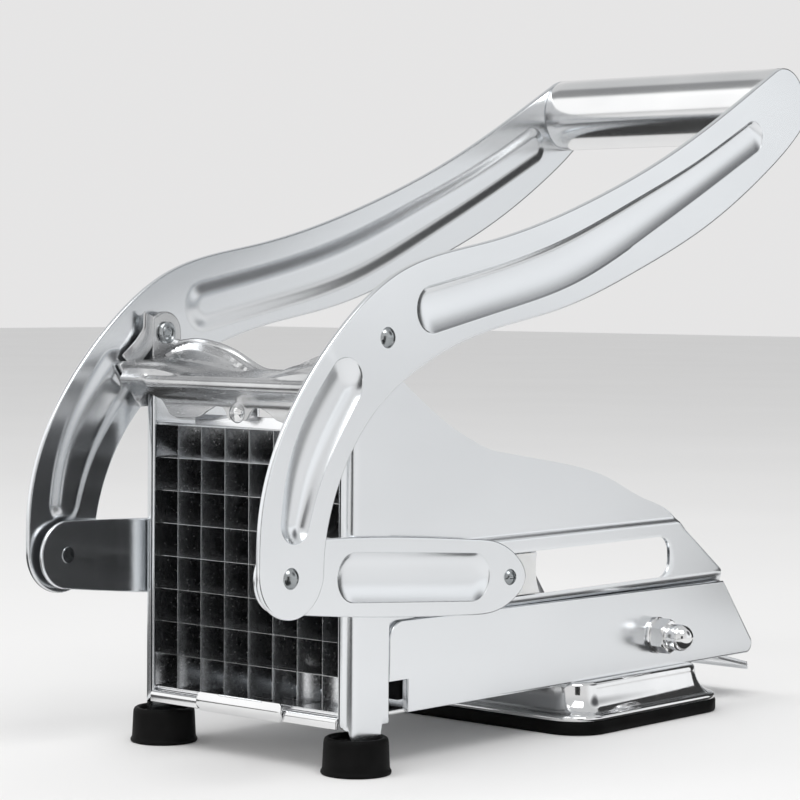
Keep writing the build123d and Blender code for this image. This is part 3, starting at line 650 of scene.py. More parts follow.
def moulded(name, dark, light, roughness, grain, bump, specular=0.06, soft=0.0):
    """Rubber or plastic with a fine moulded grain. soft lets light into it."""
    cloud_size, relief, soft_reach = 30, 0.08, (0.002, 0.0018, 0.0015)
    material, nodes, shader = new_finish(name)
    speckle = nodes.noise([grain] * 3, detail=3.0)
    clouds = nodes.noise([grain / cloud_size] * 3, detail=2.0)
    tone = nodes.mixed(nodes.ranged(clouds, 0.3, 0.7, 0, 1), dark, light)
    nodes.feed(shader.inputs["Base Color"], tone)
    shader.inputs["Specular IOR Level"].default_value = specular
    if soft:
        shader.inputs["Subsurface Weight"].default_value = soft
        shader.inputs["Subsurface Radius"].default_value = soft_reach
    finish_grain(nodes, shader, speckle, roughness, bump, relief)
    return material


SATIN_LOOK = {
    "dull": (0.795, 0.815, 0.835),
    "bright": (0.83, 0.85, 0.87),
    "roughness": (0.215, 0.23),
    "grain": (0.08, 4.0, 4.0),
    "cloud": (0.012, 0.03, 0.03),
    "bump": 0.0015,
    # painted highlight on the rims and painted shade in the creases
    "rim_highlight": 0.5,
    "crease_shade": 0.6,
}
SATIN = metal("satin_steel", **SATIN_LOOK)
# The arms' steel, with painted shade on their inner faces.
ARM_SATIN_SHADED_INSIDE = metal("arm_steel_shaded_inside", inner=0.94, **SATIN_LOOK)
ZINC = metal(
    "plated_steel",
    dull=(0.52, 0.525, 0.53),
    bright=(0.68, 0.685, 0.69),
    roughness=(0.22, 0.28),
    grain=(1.5, 0.3, 1.5),
    cloud=(0.05, 0.05, 0.05),
    bump=0.008,
    # painted highlight on the rims and painted shade in the creases
    rim_highlight=0.6,
    crease_shade=0.5,
)
CHROME = metal(
    "bright_steel",
    dull=(0.78, 0.785, 0.79),
    bright=(0.87, 0.872, 0.875),
    roughness=(0.06, 0.12),
    grain=(0.3, 0.05, 0.3),
    cloud=(0.03, 0.03, 0.03),
    bump=0.04,
)
GRIP_STEEL = metal(
    "grip_steel",
    dull=(0.80, 0.805, 0.81),
    bright=(0.87, 0.872, 0.875),
    roughness=(0.14, 0.18),
    grain=(4.0, 0.1, 4.0),
    cloud=(0.03, 0.03, 0.03),
    bump=0.004,
)
BLADE = metal(
    "blade_steel",
    dull=(0.62, 0.63, 0.65),
    bright=(0.82, 0.83, 0.84),
    roughness=(0.16, 0.28),
    grain=(1.2, 0.05, 1.2),
    cloud=(0.05, 0.05, 0.05),
    bump=0.08,
    # painted highlight on the rims
    rim_highlight=0.8,
)
RIVET = metal(
    "rivet_steel",
    dull=(0.30, 0.32, 0.33),
    bright=(0.46, 0.48, 0.49),
    roughness=(0.16, 0.26),
    grain=(0.8, 0.8, 0.8),
    cloud=(0.2, 0.2, 0.2),
    bump=0.1,
)
RUBBER = moulded(
    "black_rubber",
    dark=(0.003, 0.003, 0.003),
    light=(0.007, 0.007, 0.007),
    roughness=(0.42, 0.6),
    grain=3.0,
    bump=0.25,
)
BLACK_PLASTIC = moulded(
    "black_plastic",
    dark=(0.004, 0.004, 0.0045),
    light=(0.010, 0.010, 0.011),
    roughness=(0.32, 0.46),
    grain=4.0,
    bump=0.15,
)
NYLON = moulded(
    "pale_nylon",
    dark=(0.72, 0.725, 0.72),
    light=(0.80, 0.805, 0.80),
    roughness=(0.36, 0.48),
    grain=3.0,
    bump=0.12,
    specular=0.5,
    soft=0.25,
)


# ---------------------------------------------------------------- handle

def arm_outline():
    """Round the rivet at the foot, back over the pivot and up to the grip."""
    foot, foot_radius = (-153.9, 56.2), 12.0
    head, head_radius = (70.8, 186.9), 11.9
    foot_arc = arc(foot, foot_radius, 0, -180)
    head_arc = arc(head, head_radius, 118, -42)
    front = ((-165.2, 71.0), (-158.4, 90.6), (-140.5, 113.7), (-113.4, 132.9), (-78.3, 141.2))
    front += ((-26.1, 155.5), (8.4, 168.8), (46.4, 187.4))
    rear = ((62.6, 166.6), (24.6, 146.2), (-6.1, 134.4), (-44.4, 122.7), (-80.0, 115.9))
    rear += ((-105.0, 107.2), (-124.9, 93.9), (-137.2, 76.2))
    return chain(
        spline([foot_arc[-1], *front, head_arc[0]], start=(0, 1), end=(1.9, 1)),
        head_arc,
        spline([head_arc[-1], *rear, foot_arc[0]], start=(-0.75, -0.67), end=(0, -1)),
        foot_arc,
    )


def make_arms():
    """Pressed arms, each with a long recess above the pivot and a short one below it."""
    upper = Field(UPPER_RECESS, depth=1.35, wall=1.2, lean=0.6, roundness=2.6, swelling=1.0)
    lower = Field(LOWER_RECESS, depth=2.2, wall=0.7, lean=-0.35, roundness=2.0, swelling=1.25)
    shape = pressed_sheet(arm_outline(), ARM_OUTER, ARM_INNER, fields=[upper, lower], edge=0.45)
    sided("arm", shape, "handle", ARM_SATIN_SHADED_INSIDE, "satin_steel", "handle_arm")


def make_grip():
    """Tube between the arms, open at its ends, with softened rims."""
    radius, wall, lip, rings = 11.7, 1.2, 0.5, 12
    turns = np.radians([0, 30, 60, 90])
    rim = [(radius - lip * (1 - math.cos(a)), ARM_INNER - lip * (1 - math.sin(a))) for a in turns]
    outside = [(radius, y) for y in np.linspace(0, ARM_INNER - lip, rings)[:-1]]
    outside += [*rim, (radius - wall, ARM_INNER)]
    profile = [(r, -y) for r, y in outside[::-1]] + outside[1:]
    shape = turned(Shape(), [*profile, profile[0]], (GRIP[0], 0, GRIP[1]), count=128)
    piece("grip", shape, "handle", GRIP_STEEL, "bright_steel", ["grip_tube"])


def dome_profile(radius, high, base, steps=9):
    """(radius, height) pairs of a shallow round head from its top to its rim."""
    ball = (radius * radius + high * high) / (2 * high)
    angles = np.linspace(0, math.asin(min(1.0, radius / ball)), steps)
    return [(ball * math.sin(a), base + high - ball * (1 - math.cos(a))) for a in angles]


def rivet_head(radius, shank):
    """(radius, y) pairs of a domed head outside the arm, in to its shank."""
    high, sunk = 1.5, 0.1
    seat = ARM_OUTER - sunk
    return dome_profile(radius, high, ARM_OUTER) + [(radius, seat), (shank, seat)]


def make_rivets():
    """Dark rivets: one through each arm and ear at the pivot, one at each arm's foot."""
    shank, sides = 1.9, 48
    closed_end = [(shank, 39.3), (3.1, 39.3), (3.1, 38.7), (2.8, 38.4), (2.3, 38.35), (2.0, 38.6)]
    closed_end += [(1.7, 38.35), (1.0, 38.3), (0.8, 38.6), (0, 38.65)]
    shape = turned(Shape(), rivet_head(2.85, shank) + closed_end, count=sides)
    pair("pivot_rivet_heads", shape, *PIVOT, "handle", RIVET, "pin_steel", ["pivot_rivets"])

    collar = [(shank, 42.8), (3.4, 42.8), (3.4, 41.6), (3.2, 41.4), (0, 41.4)]
    shape = turned(Shape(), rivet_head(2.8, shank) + collar, count=sides)
    pair("foot_rivet_heads", shape, *CRANK, "handle", RIVET, "pin_steel", ["link_rivets"])

    bush = [(shank, 41.1), (4.8, 41.1), (5.0, 41.3), (5.0, 42.6), (4.8, 42.8), (shank, 42.8), (shank, 41.1)]
    pair("bushes", turned(Shape(), bush, count=sides), *PIVOT, "handle", RIVET, "pin_steel", ["pivot_bushes"])


# ---------------------------------------------------------------- links

def along_link(u, v):
    """Point at u towards the lower rivet and v above the link's middle line, counted from the rod."""
    heading = unit((CRANK[0] - ROD[0], CRANK[1] - ROD[1]))
    return (ROD[0] + u * heading[0] + v * heading[1], ROD[1] + u * heading[1] - v * heading[0])


def link_outline():
    """Round the lower rivet, and with a blunt tip behind the rod's screw."""
    half, nose = 10.5, 9.4
    length = math.dist(CRANK, ROD)
    heading = math.degrees(math.atan2(CRANK[1] - ROD[1], CRANK[0] - ROD[0]))
    tip = ((15, half), (1.5, 8.3), (-7.2, 0), (1.5, -8.3), (15, -half))
    return chain(
        spline([along_link(length, nose), along_link(60, half + 0.2), along_link(15, half)]),
        spline([along_link(u, v) for u, v in tip], step=0.9),
        spline([along_link(15, -half), along_link(60, -half), along_link(length, -nose)]),
        arc(CRANK, nose, heading + 90, heading - 90)[1:-1],
    )


def make_links():
    """Links with a long dished field, and the closed rivet ends that sit in their front eyes."""
    stations = [(*along_link(u, 0), 6.7) for u in (65.2, 40, 15.9)]
    dish = Field(stations, depth=1.2, lean=0.25, roundness=3.0)
    shape = pressed_sheet(link_outline(), LINK_OUTER, LINK_INNER, fields=[dish], edge=0.4)
    closed_end = [(0, 39.5), (1.5, 39.5), (2.1, 39.6), (2.3, 39.85), (2.3, 41.0), (2.1, 41.25), (0, 41.3)]
    tail = turned(Shape(), closed_end, (CRANK[0], 0, CRANK[1]), count=48)
    sided("link_plate", shape, "{}_link", SATIN, "satin_steel", "link")
    sided("link_rivet_end", tail, "{}_link", RIVET, "pin_steel", "link_rivet_tail")


def cross_head(radius, high, base):
    """Rounded screw head with a cross recess, and its shank, along y."""
    sides, rings = 96, 26
    arm_long, arm_half, deep, soft = 0.62 * radius, 0.13 * radius, 0.45 * high, 0.06 * radius
    shank, shank_long, sunk = 1.5, 6.0, 0.1
    ball = (radius * radius + high * high) / (2 * high)
    angles = np.linspace(0, 2 * np.pi, sides, endpoint=False)
    rows = []
    for r in np.linspace(0, radius, rings):
        u, v = r * np.cos(angles), r * np.sin(angles)
        bars = [
            smooth_step((arm_long - np.abs(a)) / soft) * smooth_step((arm_half - np.abs(b)) / soft + 0.5)
            for a, b in ((u, v), (v, u))
        ]
        rise = math.sqrt(ball * ball - r * r) - (ball - high)
        rows.append(np.column_stack([u, base + rise - deep * np.maximum(*bars), v]))
    seat, end = base - sunk, base - shank_long
    rim = [(radius, base), (radius, seat), (shank, seat), (shank, end), (0, end)]
    return turned(Shape().rows(rows), rim, count=sides)


def make_link_screws():
    """Screws that hold the links on the cross rod."""
    shape = cross_head(2.3, 1.4, LINK_OUTER + 0.1)
    pair("rod_screws", shape, *ROD, "pusher", RIVET, "bright_steel", ["link_screws"])


# ---------------------------------------------------------------- walls, pan and posts

def wall_rear(z):
    """x of a side wall's edge at a height: the rear slope, then the long curve up to the front."""
    step, waist = 0.8, (-65.6, 83.3)
    slope = [(58.5, 15.4), (61.5, 18.4), (47.5, 36.6), (45.4, 42.0), (26.1, 55.4), (22.5, 58.6)]
    low = spline([(22.5, 58.6), (5.0, 66.3), (-12.2, 73.1), (-36.2, 78.7), waist], (-1, 1), (-1, 0.16), step)
    high = [waist, (-74.3, 86.2), (-84.0, 90.5), (-94.1, 96.3), (-105.2, WALL_TOP)]
    high = spline(high, (-1, 0.2), (-1, 0.75), step)
    curve = np.vstack([slope, low[1:], high[1:]])
    return float(np.interp(z, curve[:, 1], curve[:, 0]))


def slot_ends(z):
    """x of the slot's two ends at a height, with its round corners."""
    low, high = SLOT_BOTTOM + SLOT_CORNER, SLOT_TOP - SLOT_CORNER
    out = min(SLOT_CORNER, max(low - z, z - high, 0))
    back = SLOT_CORNER - math.sqrt(SLOT_CORNER**2 - out**2)
    return SLOT_FRONT + back, SLOT_REAR - back


def make_walls():
    """Pressed side walls: a level channel that stands out round the slot, under a plain upper panel."""
    front, behind_post, before_slot = -125.4, SLOT_FRONT - 5, SLOT_FRONT - 2
    channel_low, channel_high, tuck_z = 38.0, 59.5, 38.3
    corner = [SLOT_CORNER * (1 - math.cos(a)) for a in np.radians(np.linspace(0, 90, 9))]
    # Rows lie close together where the channel bends and round the slot's corners.
    levels = [15.4, 18.4, 21.0, NOTCH_Z, 30.0, 35.0, 36.6, 37.0, 37.4, 37.7]
    levels += list(np.linspace(channel_low, 41.4, 15))
    levels += [SLOT_BOTTOM + c for c in corner] + [SLOT_TOP - c for c in corner]
    levels += [55.4, 56.6, 57.4, 57.7, 58.0, 58.3, 58.6, 58.9, 59.2, channel_high, 60.0]
    levels += list(np.linspace(61.0, 102.0, 52)) + [103.0, 103.5, WALL_TOP]
    levels = sorted(set(round(z, 4) for z in levels))
    # Cells between a row's stops: front edge, notch, post, channel, slot's two ends and rear edge.
    cells = (2, 2, 4, 2, 8, 8)
    rise, fall, tuck_deep, tuck_wide, clear = 3.6, 1.9, 0.35, 0.9, 0.3
    work = bmesh.new()
    grid = []
    for z in levels:
        slot_front, slot_rear = slot_ends(z)
        rear = wall_rear(z)
        stops = [front, NOTCH_X, behind_post, before_slot]
        stops += [min(slot_front, rear - 2), min(slot_rear, rear - 1), rear]
        for i in range(4, 0, -1):
            stops[i] = min(stops[i], stops[i + 1] - clear)
        parts = [np.linspace(a, b, n, endpoint=False) for a, b, n in zip(stops, stops[1:], cells)]
        xs = np.concatenate([*parts, [rear]])
        out = smooth_step((z - channel_low) / rise) * smooth_step((channel_high - z) / fall)
        tuck = tuck_deep * math.exp(-(((z - tuck_z) / tuck_wide) ** 2))
        stand_out = (CHANNEL_OUTER - WALL_OUTER) * out - tuck
        y = WALL_OUTER + stand_out * smooth_step((xs - behind_post) / (before_slot - behind_post))
        grid.append([work.verts.new((a, b, z)) for a, b in zip(xs, y)])
    in_slot = range(sum(cells[:4]), sum(cells[:5]))
    for low, high, z in zip(grid, grid[1:], levels):
        for b in range(len(low) - 1):
            slot = b in in_slot and SLOT_BOTTOM <= z < SLOT_TOP
            notch = b < cells[0] and z < NOTCH_Z
            if not (slot or notch):
                work.faces.new((low[b], low[b + 1], high[b + 1], high[b]))
    shape = solid_sheet(work, WALL_OUTER - WALL_INNER, 0.4)
    sided("wall", shape, "frame", SATIN, "satin_steel", "side_wall")


def solid_sheet(work, sheet, edge):
    """Turns an open surface that faces +y into a sheet of that thickness with rounded rims."""
    loose = [v for v in work.verts if not v.link_faces]
    bmesh.ops.delete(work, geom=loose, context="VERTS")
    bmesh.ops.recalc_face_normals(work, faces=work.faces)
    if sum(face.normal.y * face.calc_area() for face in work.faces) < 0:
        bmesh.ops.reverse_faces(work, faces=work.faces)
    bmesh.ops.solidify(work, geom=work.faces, thickness=sheet)
    bmesh.ops.recalc_face_normals(work, faces=work.faces)
    round_edges(work, 60, edge)
    shape = Shape()
    work.verts.index_update()
    shape.add([v.co for v in work.verts], [[v.index for v in face.verts] for face in work.faces])
    work.free()
    return shape


def skirt_outline():
    """Outline of the pan's outer skirt, with a notch behind the post's foot."""
    front = -110.8
    return chain(
        [(front, 34.0)],
        arc((-105.6, 34.3), 5.25, 178, 92, turn=10),
        [(46.9, 38.1), (62.9, 18.4)],
        arc((60.2, 17.1), 3.0, 25, -100, turn=10),
        [(NOTCH_X, FLOOR_BOTTOM), (NOTCH_X, NOTCH_Z), (front, NOTCH_Z)],
    )


def make_pan():
    """Chamber floor between two skirts."""
    floor_middle, floor_long, bolt_radius = -35, 136, 3.1
    pan = Shape()
    bolt_hole = arc(BOLT, bolt_radius, 0, 352, turn=8)
    skirt = pressed_sheet(skirt_outline(), SKIRT_OUTER, WALL_OUTER, holes=[bolt_hole], edge=0.4)
    pan.on_both_sides(skirt)
    floor = rounded_rectangle(floor_long, 2 * WALL_OUTER, 1.0, turn=30, middle=(floor_middle, 0))
    stud_hole = arc((0, 0), STUD_HOLE, 0, 350, turn=10)
    slab = pressed_sheet(floor, FLOOR_TOP, FLOOR_BOTTOM, holes=[stud_hole], edge=0.25)
    pan.add([(x, z, y) for x, y, z in slab.points], slab.faces)
    piece("pan", pan, "frame", SATIN, "satin_steel", ["base_pan"])


POST_FRONT, POST_REAR, POST_INNER_EDGE, POST_BEND = -126.8, -111.3, 35.3, 3.1


def post_low(x, distance):
    """Height of a post's lower edge: a step at its inner edge, and behind the bend a tab into the foot."""
    plain, stepped, tab_top, tab_low = 12.8, 14.0, 12.2, 5.0
    tab_front, tab_rear, shoulder = -124.9, -114.9, 1.0
    if tab_front - 1.3 < x <= tab_rear:
        return tab_top + (tab_low - tab_top) * float(smooth_step((x - tab_front + 1.3) / 1.6))
    if tab_rear < x < tab_rear + shoulder:
        share = 1 - (x - tab_rear) / shoulder
        return plain + (tab_low - plain) * (1 - math.sqrt(1 - share**2)) ** 0.5
    if x >= tab_front:
        return plain
    if distance <= POST_INNER_EDGE + 0.5:
        return stepped
    drawn = 2.2 * float(smooth_step((distance - POST_INNER_EDGE) / 3.0)) * (x < POST_FRONT + 1.2)
    return min(plain, stepped - drawn)


def post_high(x):
    """Height of a post's upper edge, which is round at the rear."""
    corner_long, corner_high = 4.0, 6.0
    if x <= POST_REAR - corner_long:
        return WALL_TOP
    share = (x - POST_REAR + corner_long) / (corner_long + 0.02)
    return WALL_TOP - corner_high + corner_high * math.sqrt(max(0.0, 1 - share**2))


def make_posts():
    """Folded posts: side flange, bend and front flange in one sheet, with a tab that stands in the foot."""
    sheet = 1.2
    bend_x, bend_y = POST_FRONT + POST_BEND, POST_OUTER - POST_BEND
    flange = np.linspace(bend_x, -115.4, 8)[1:]
    shoulder = [-115.0, -114.7, -114.3, -113.8]
    # The front flange's inner strip doubles back a little, where its lower edge is stepped.
    path = [(POST_FRONT, y) for y in (POST_INNER_EDGE, POST_INNER_EDGE + 0.7, bend_y - 0.8)]
    path += list(arc((bend_x, bend_y), POST_BEND, 180, 90, turn=10))
    path += [(x, POST_OUTER) for x in (*flange, *shoulder, *np.linspace(-113.4, POST_REAR, 9))]
    # Rings lie close together at the foot and under the bracket.
    shares = np.concatenate([np.linspace(0, 0.12, 8), np.linspace(0.16, 0.93, 14), np.linspace(0.94, 1, 9)])
    rows = []
    for x, distance in path[::-1]:
        low = post_low(x, distance)
        rows.append([(x, distance, low + (post_high(x) - low) * share) for share in shares])
    shape = thick(Shape(), rows, sheet, edge=0.45)
    sided("post", shape, "frame", SATIN, "satin_steel", "frame_upright")


def make_feet():
    """Rubber feet: a lip on the floor, a slightly tapered side, and a round rim about the post's pocket."""
    outside = [(0, 0), (8.6, 0), (9.3, 0.12), (9.5, 0.45), (9.45, 0.85), (9.2, 1.2), (9.05, 1.55), (9.0, 2.2)]
    outside += [(8.85, 5.4), (8.72, 8.2), (8.6, 9.0), (8.35, 9.5), (7.9, 9.78), (7.45, 9.76), (7.1, 9.5)]
    pocket = [(6.85, 9.0), (6.7, 8.4), (0, 8.3)]
    shape = turned(Shape(), outside + pocket, (-121.0, 36.65, 0), "z", count=72)
    sided("rubber_foot", shape, "frame", RUBBER, "black_rubber", "foot")


def make_rail():
    """Folded rail under the blades, and the rounded lip plate on its front."""
    rear, front, under, bend = -103.1, -127.6, 12.2, 1.4
    behind_posts, between_posts = 38.2, 35.2
    path = [(x, FLOOR_TOP) for x in (rear, -106, -118, -125.2, -125.6)]
    path += [*arc((front + bend, FLOOR_TOP - bend), bend, 90, 180, turn=15), (front, 13.2), (front, under)]
    rows = []
    for x, z in path:
        half = behind_posts if x > -125.4 else between_posts
        rows.append([(x, y, z) for y in np.linspace(half, -half, 25)])
    shape = thick(Shape(), rows, 1.0, edge=0.2)
    lip = []
    lip_middle, lip_half_high, lip_half_long, crown = 14.35, 2.55, 16.0, 0.7
    for z in np.linspace(lip_middle + lip_half_high, lip_middle - lip_half_high, 13):
        share = (z - lip_middle) / lip_half_high
        half = lip_half_long - 0.9 * share**4
        x = front - 0.3 - crown * (1 - share**2)
        lip.append([(x, y, z) for y in np.linspace(half, -half, 25)])
    thick(shape, lip, 0.7, edge=0.2)
    piece("rail", shape, "frame", CHROME, "bright_steel", ["bottom_rail"])


# ---------------------------------------------------------------- top bracket

# (y, z) points of the bracket's crest and of its apron's scalloped lower edge, from the middle outwards.
CREST = ((0, 105.9), (6, 106.3), (11, 108.2), (17, 110.9), (25, 113.1), (33, 114.0), (39.5, 113.4))
APRON_LOW = ((0, 92.6), (3.4, 92.8), (4.4, 94.6), (5.8, 96.0), (8.5, 96.2), (11.5, 95.0), (14.5, 93.2))
APRON_LOW += ((17.5, 92.5), (23.5, 92.5), (26.3, 93.4), (27.8, 95.2), (29.2, 97.2), (32.0, 98.6))
APRON_LOW += ((35.0, 98.4), (39.5, 96.2))
BRACKET_REAR = -111.6
BEAD_END = 30.0


def crest_height(y):
    """Height of the crest at a distance from the middle plane."""
    mirrored = [(-a, z) for a, z in CREST[:0:-1]]
    curve = spline([*mirrored, *CREST], step=0.5)
    return float(np.interp(y, curve[:, 0], curve[:, 1]))


def teardrop(x, y):
    """Height of the pressed teardrop on the saddle: a raised line round a shallow hollow."""
    tip, middle, half, line_x, slant = 4.0, 31.0, 4.7, -120.2, 1.6
    deep, ridge_high, ridge_wide = 0.95, 0.4, 0.55
    along = abs(y)
    line = line_x + slant * (middle - along) / (middle - tip)
    if along > middle:
        width = math.sqrt(max(0.0, half**2 - (along - middle) ** 2))
    else:
        width = half * (1 - min(1.0, (middle - along) / (middle - tip)) ** 1.7)
    if width < 0.3:
        return 0.0
    share = abs(x - line) / width
    hollow = deep * float(smooth_step((1.02 - share) / 0.34))
    ridge = ridge_high * math.exp(-(((share - 1.12) * width / ridge_wide) ** 2))
    return (ridge - hollow) * float(smooth_step(width / 1.6))


def bracket_section(y):
    """x and z of the bracket from its rolled rear edge over the saddle, round the bead and down the apron."""
    crest = crest_height(y)
    fold_x, fold_z = -135.9, 103.4
    rise = (crest - fold_z) / (BRACKET_REAR - fold_x)

    def saddle(x):
        shoulder = 1.5 * float(smooth_step((abs(y) - 12) / 16)) * math.exp(-(((x + 130.0) / 4.2) ** 2))
        return fold_z + rise * (x - fold_x) + shoulder + teardrop(x, y)

    rear = [(-111.75, crest - 1.15), (BRACKET_REAR, crest - 0.6), (-111.75, crest - 0.2), (-112.2, crest)]
    rear += [(-112.7, crest - 0.05), (-113.2, crest - 0.4)]
    rear += [(x, saddle(x) - drop) for x, drop in ((-113.6, 0.35), (-114.2, 0.2), (-114.8, 0))]
    top = [(x, saddle(x)) for x in np.linspace(-115.4, -131.4, 30)]
    start = np.array(top[-1])
    turn = np.array([-134.2, max(104.3, start[1] - 0.9)])
    roll = [start + (turn - start) * share for share in (0.35, 0.7, 1.0)]

    apron_top, count = (-133.9, 100.75), 22
    plain = spline([turn, (-135.3, 103.6), (-135.75, 102.7), (-135.2, 101.8), apron_top], step=0.28)
    ball = arc((-134.3, 102.15), 1.6, 118, 262, turn=8)
    bead = spline([turn, (-134.75, 103.85), *ball[::4], apron_top], step=0.28)
    plain, bead = (
        curve[np.linspace(0, len(curve) - 1, count).round().astype(int)] for curve in (plain, bead)
    )
    front = plain + float(smooth_step((BEAD_END + 0.9 - abs(y)) / 1.8)) * (bead - plain)

    apron = [apron_top, (-131.6, 98.98), (-129.9, 97.65), (-129.25, 96.4), (-129.2, 94.6), (-129.2, 92.3)]
    apron = spline(apron, step=0.3)
    low = float(np.interp(abs(y), *np.array(APRON_LOW).T))
    cut = np.interp(np.linspace(apron_top[1], low, 14), apron[::-1, 1], np.arange(len(apron))[::-1])
    apron = np.column_stack([np.interp(cut, np.arange(len(apron)), apron[:, i]) for i in (0, 1)])
    return np.vstack([rear, top, roll, front[1:], apron[1:]])


def resampled(points, count):
    """Evenly spaced points on a smooth line through a few points in space."""
    p = np.array(points, float)
    at = np.concatenate([[0], np.cumsum(np.linalg.norm(np.diff(p, axis=0), axis=1))])
    step = at[-1] / (count - 1)
    return np.column_stack([spline(np.column_stack([at, p[:, i]]), step=step)[:count, 1] for i in range(3)])


def ear_flare():
    """Grid of the curved web in front of an ear, from its crease on the ear to its outer rim."""
    crease = [(-123.0, 39.6, 120.2), (-123.0, 39.6, 116.0), (-123.0, 39.6, 111.0), (-123.2, 39.6, 108.6)]
    crease += [(-124.2, 39.6, 107.4), (-127.0, 39.6, 107.2), (-131.0, 39.7, 107.2), (-135.2, 39.9, 107.0)]
    rim = [(-125.6, 40.6, 121.4), (-125.8, 40.6, 118.0), (-125.9, 40.6, 115.5), (-126.4, 40.6, 113.8)]
    rim += [(-127.8, 40.6, 112.2), (-130.3, 40.6, 110.4), (-133.2, 40.5, 108.9), (-135.7, 40.5, 107.9)]
    count = 40
    turns = np.radians(np.linspace(0, 90, 9))
    shares = np.column_stack([np.sin(turns), 1 - np.cos(turns), turns * 2 / math.pi])
    return [a + (b - a) * shares for a, b in zip(resampled(crease, count), resampled(rim, count))]


def make_bracket():
    """Pressed bracket: a saddle between two ears, with a bead along its fold and a scalloped apron."""
    half = 39.45
    grid = [[(x, y, z) for x, z in bracket_section(y)] for y in np.linspace(-half, half, 151)]
    shape = thick(Shape(), grid, 1.1, edge=0.25)
    ear = chain(
        arc(PIVOT, 6.0, 0, 126, turn=9),
        [(-123.0, 120.0), (-123.0, 107.4), (-134.2, 107.6), (-135.6, 106.7), (-127.6, 94.8), (-123.0, 94.8)],
        [(-112.0, 107.4)],
    )
    plate = pressed_sheet(ear, BRACKET_OUTER, BRACKET_INNER, edge=0.35)
    thick(plate, ear_flare(), -0.9, edge=0.15)
    shape.on_both_sides(plate)
    piece("bridge", shape, "frame", ZINC, "bright_steel", ["bridge_bracket"])


# ---------------------------------------------------------------- blades and pusher

def blade_strip(long, wide, across):
    """Strip along y if across, or else along z, with a ground front edge. wide runs from front to rear."""
    half, edge_half, ground = 0.3, 0.05, 1.3
    section = [(0, -edge_half), (0, edge_half), (ground, half), (wide, half), (wide, -half), (ground, -half)]
    ends = (-long / 2, long / 2)
    rows = [[(x, at, side) if across else (x, side, at) for x, side in section] for at in ends]
    return Shape().rows(rows, capped=True)


def make_blades():
    """Seven upright and seven level strips in the cartridge."""
    front, wide, high, long = -124.6, 9.0, 73.6, 72.4
    first = -CELL_PITCH * (CELLS / 2 - 1)
    for name, node, across, length, start, step in (
        ("upright_strip", "vertical_blades", False, high, (front, first, GRID_Z), (0, CELL_PITCH, 0)),
        ("level_strip", "horizontal_blades", True, long, (front, 0, GRID_Z + first), (0, 0, CELL_PITCH)),
    ):
        strip = mesh_of(name, blade_strip(length, wide, across), sharp=20)
        strips = row(name + "s", strip, CELLS - 1, start, step, finish=BLADE)
        place(name + "s", strips, "frame", BLADE, "blade_steel", [node])
    softened("cartridge_frame", "blade_frame", "frame", BLADE, "blade_steel", 0.25)


def facing_block(sections):
    """Body from upright rounded rectangles: (length, width, corner, turn, middle, x) of each."""
    loops = []
    for *rectangle, x in sections:
        loop = rounded_rectangle(*rectangle)
        loops.append(np.column_stack([np.full(len(loop), x), loop]))
    return Shape().rows(loops, capped=True)


def make_pusher_block():
    """Black block with eight rows of eight studs, each with rounded edges and a slightly hollow face."""
    tip, stud_long, stud_wide, base, base_high, base_wide = -103.4, 6.0, 7.4, 6.0, 72.4, 73
    stud_rounding = ((0.1, 6.2), (0, 5.4), (0, 0.9), (0.25, 0.35), (0.8, 0.05), (1.6, 0))
    stud_hollow = ((2.4, 0.3), (3.2, 0.45))
    sides = [(stud_wide - 2 * shrink, x) for shrink, x in stud_rounding + stud_hollow]
    stud = facing_block([(side, side, min(1.0, side / 2.2), 30, (0, 0), x) for side, x in sides])
    first = -CELL_PITCH * (CELLS - 1) / 2
    upwards, sideways = (0, 0, CELL_PITCH), (0, CELL_PITCH, 0)
    column = row("stud_column", mesh_of("stud", stud), CELLS, (0, 0, first), upwards, finish=BLACK_PLASTIC)
    studs = row("studs", column, CELLS, (tip, first, GRID_Z), sideways, finish=BLACK_PLASTIC)
    base_rounding = ((0.6, 0), (0.15, 0.15), (0, 0.6), (0, base - 0.6), (0.15, base - 0.15), (0.6, base))
    plate = facing_block([
        (base_wide - 2 * shrink, base_high - 2 * shrink, 2.0, 15, (0, GRID_Z), tip + stud_long + x)
        for shrink, x in base_rounding
    ])
    work = bmesh.new()
    work.from_mesh(studs)
    work.from_mesh(mesh_of("pusher_plate", plate))
    whole = mesh_from(work, "studded_block")
    place("studded_block", whole, "pusher", BLACK_PLASTIC, "black_plastic", ["pusher_block"])


def make_shoes():
    """Pale shoes that slide in the walls' slots."""
    for name in SIDES:
        softened("shoe_" + name, "slide_shoe_" + name, "pusher", NYLON, "pale_plastic", 0.45, segments=3)


def make_cartridge_screw():
    """Cross-headed screw that holds the cartridge under the bracket's middle."""
    seat, height = -129.2, 94.5
    head = cross_head(2.8, 1.9, 0.0)
    facing = Shape()
    facing.add([(seat - along, u, height + v) for u, along, v in head.points], head.faces)
    piece("cartridge_screw", facing, "frame", CHROME, "bright_steel", ["blade_screw"])


# ---------------------------------------------------------------- suction foot and cross bolt

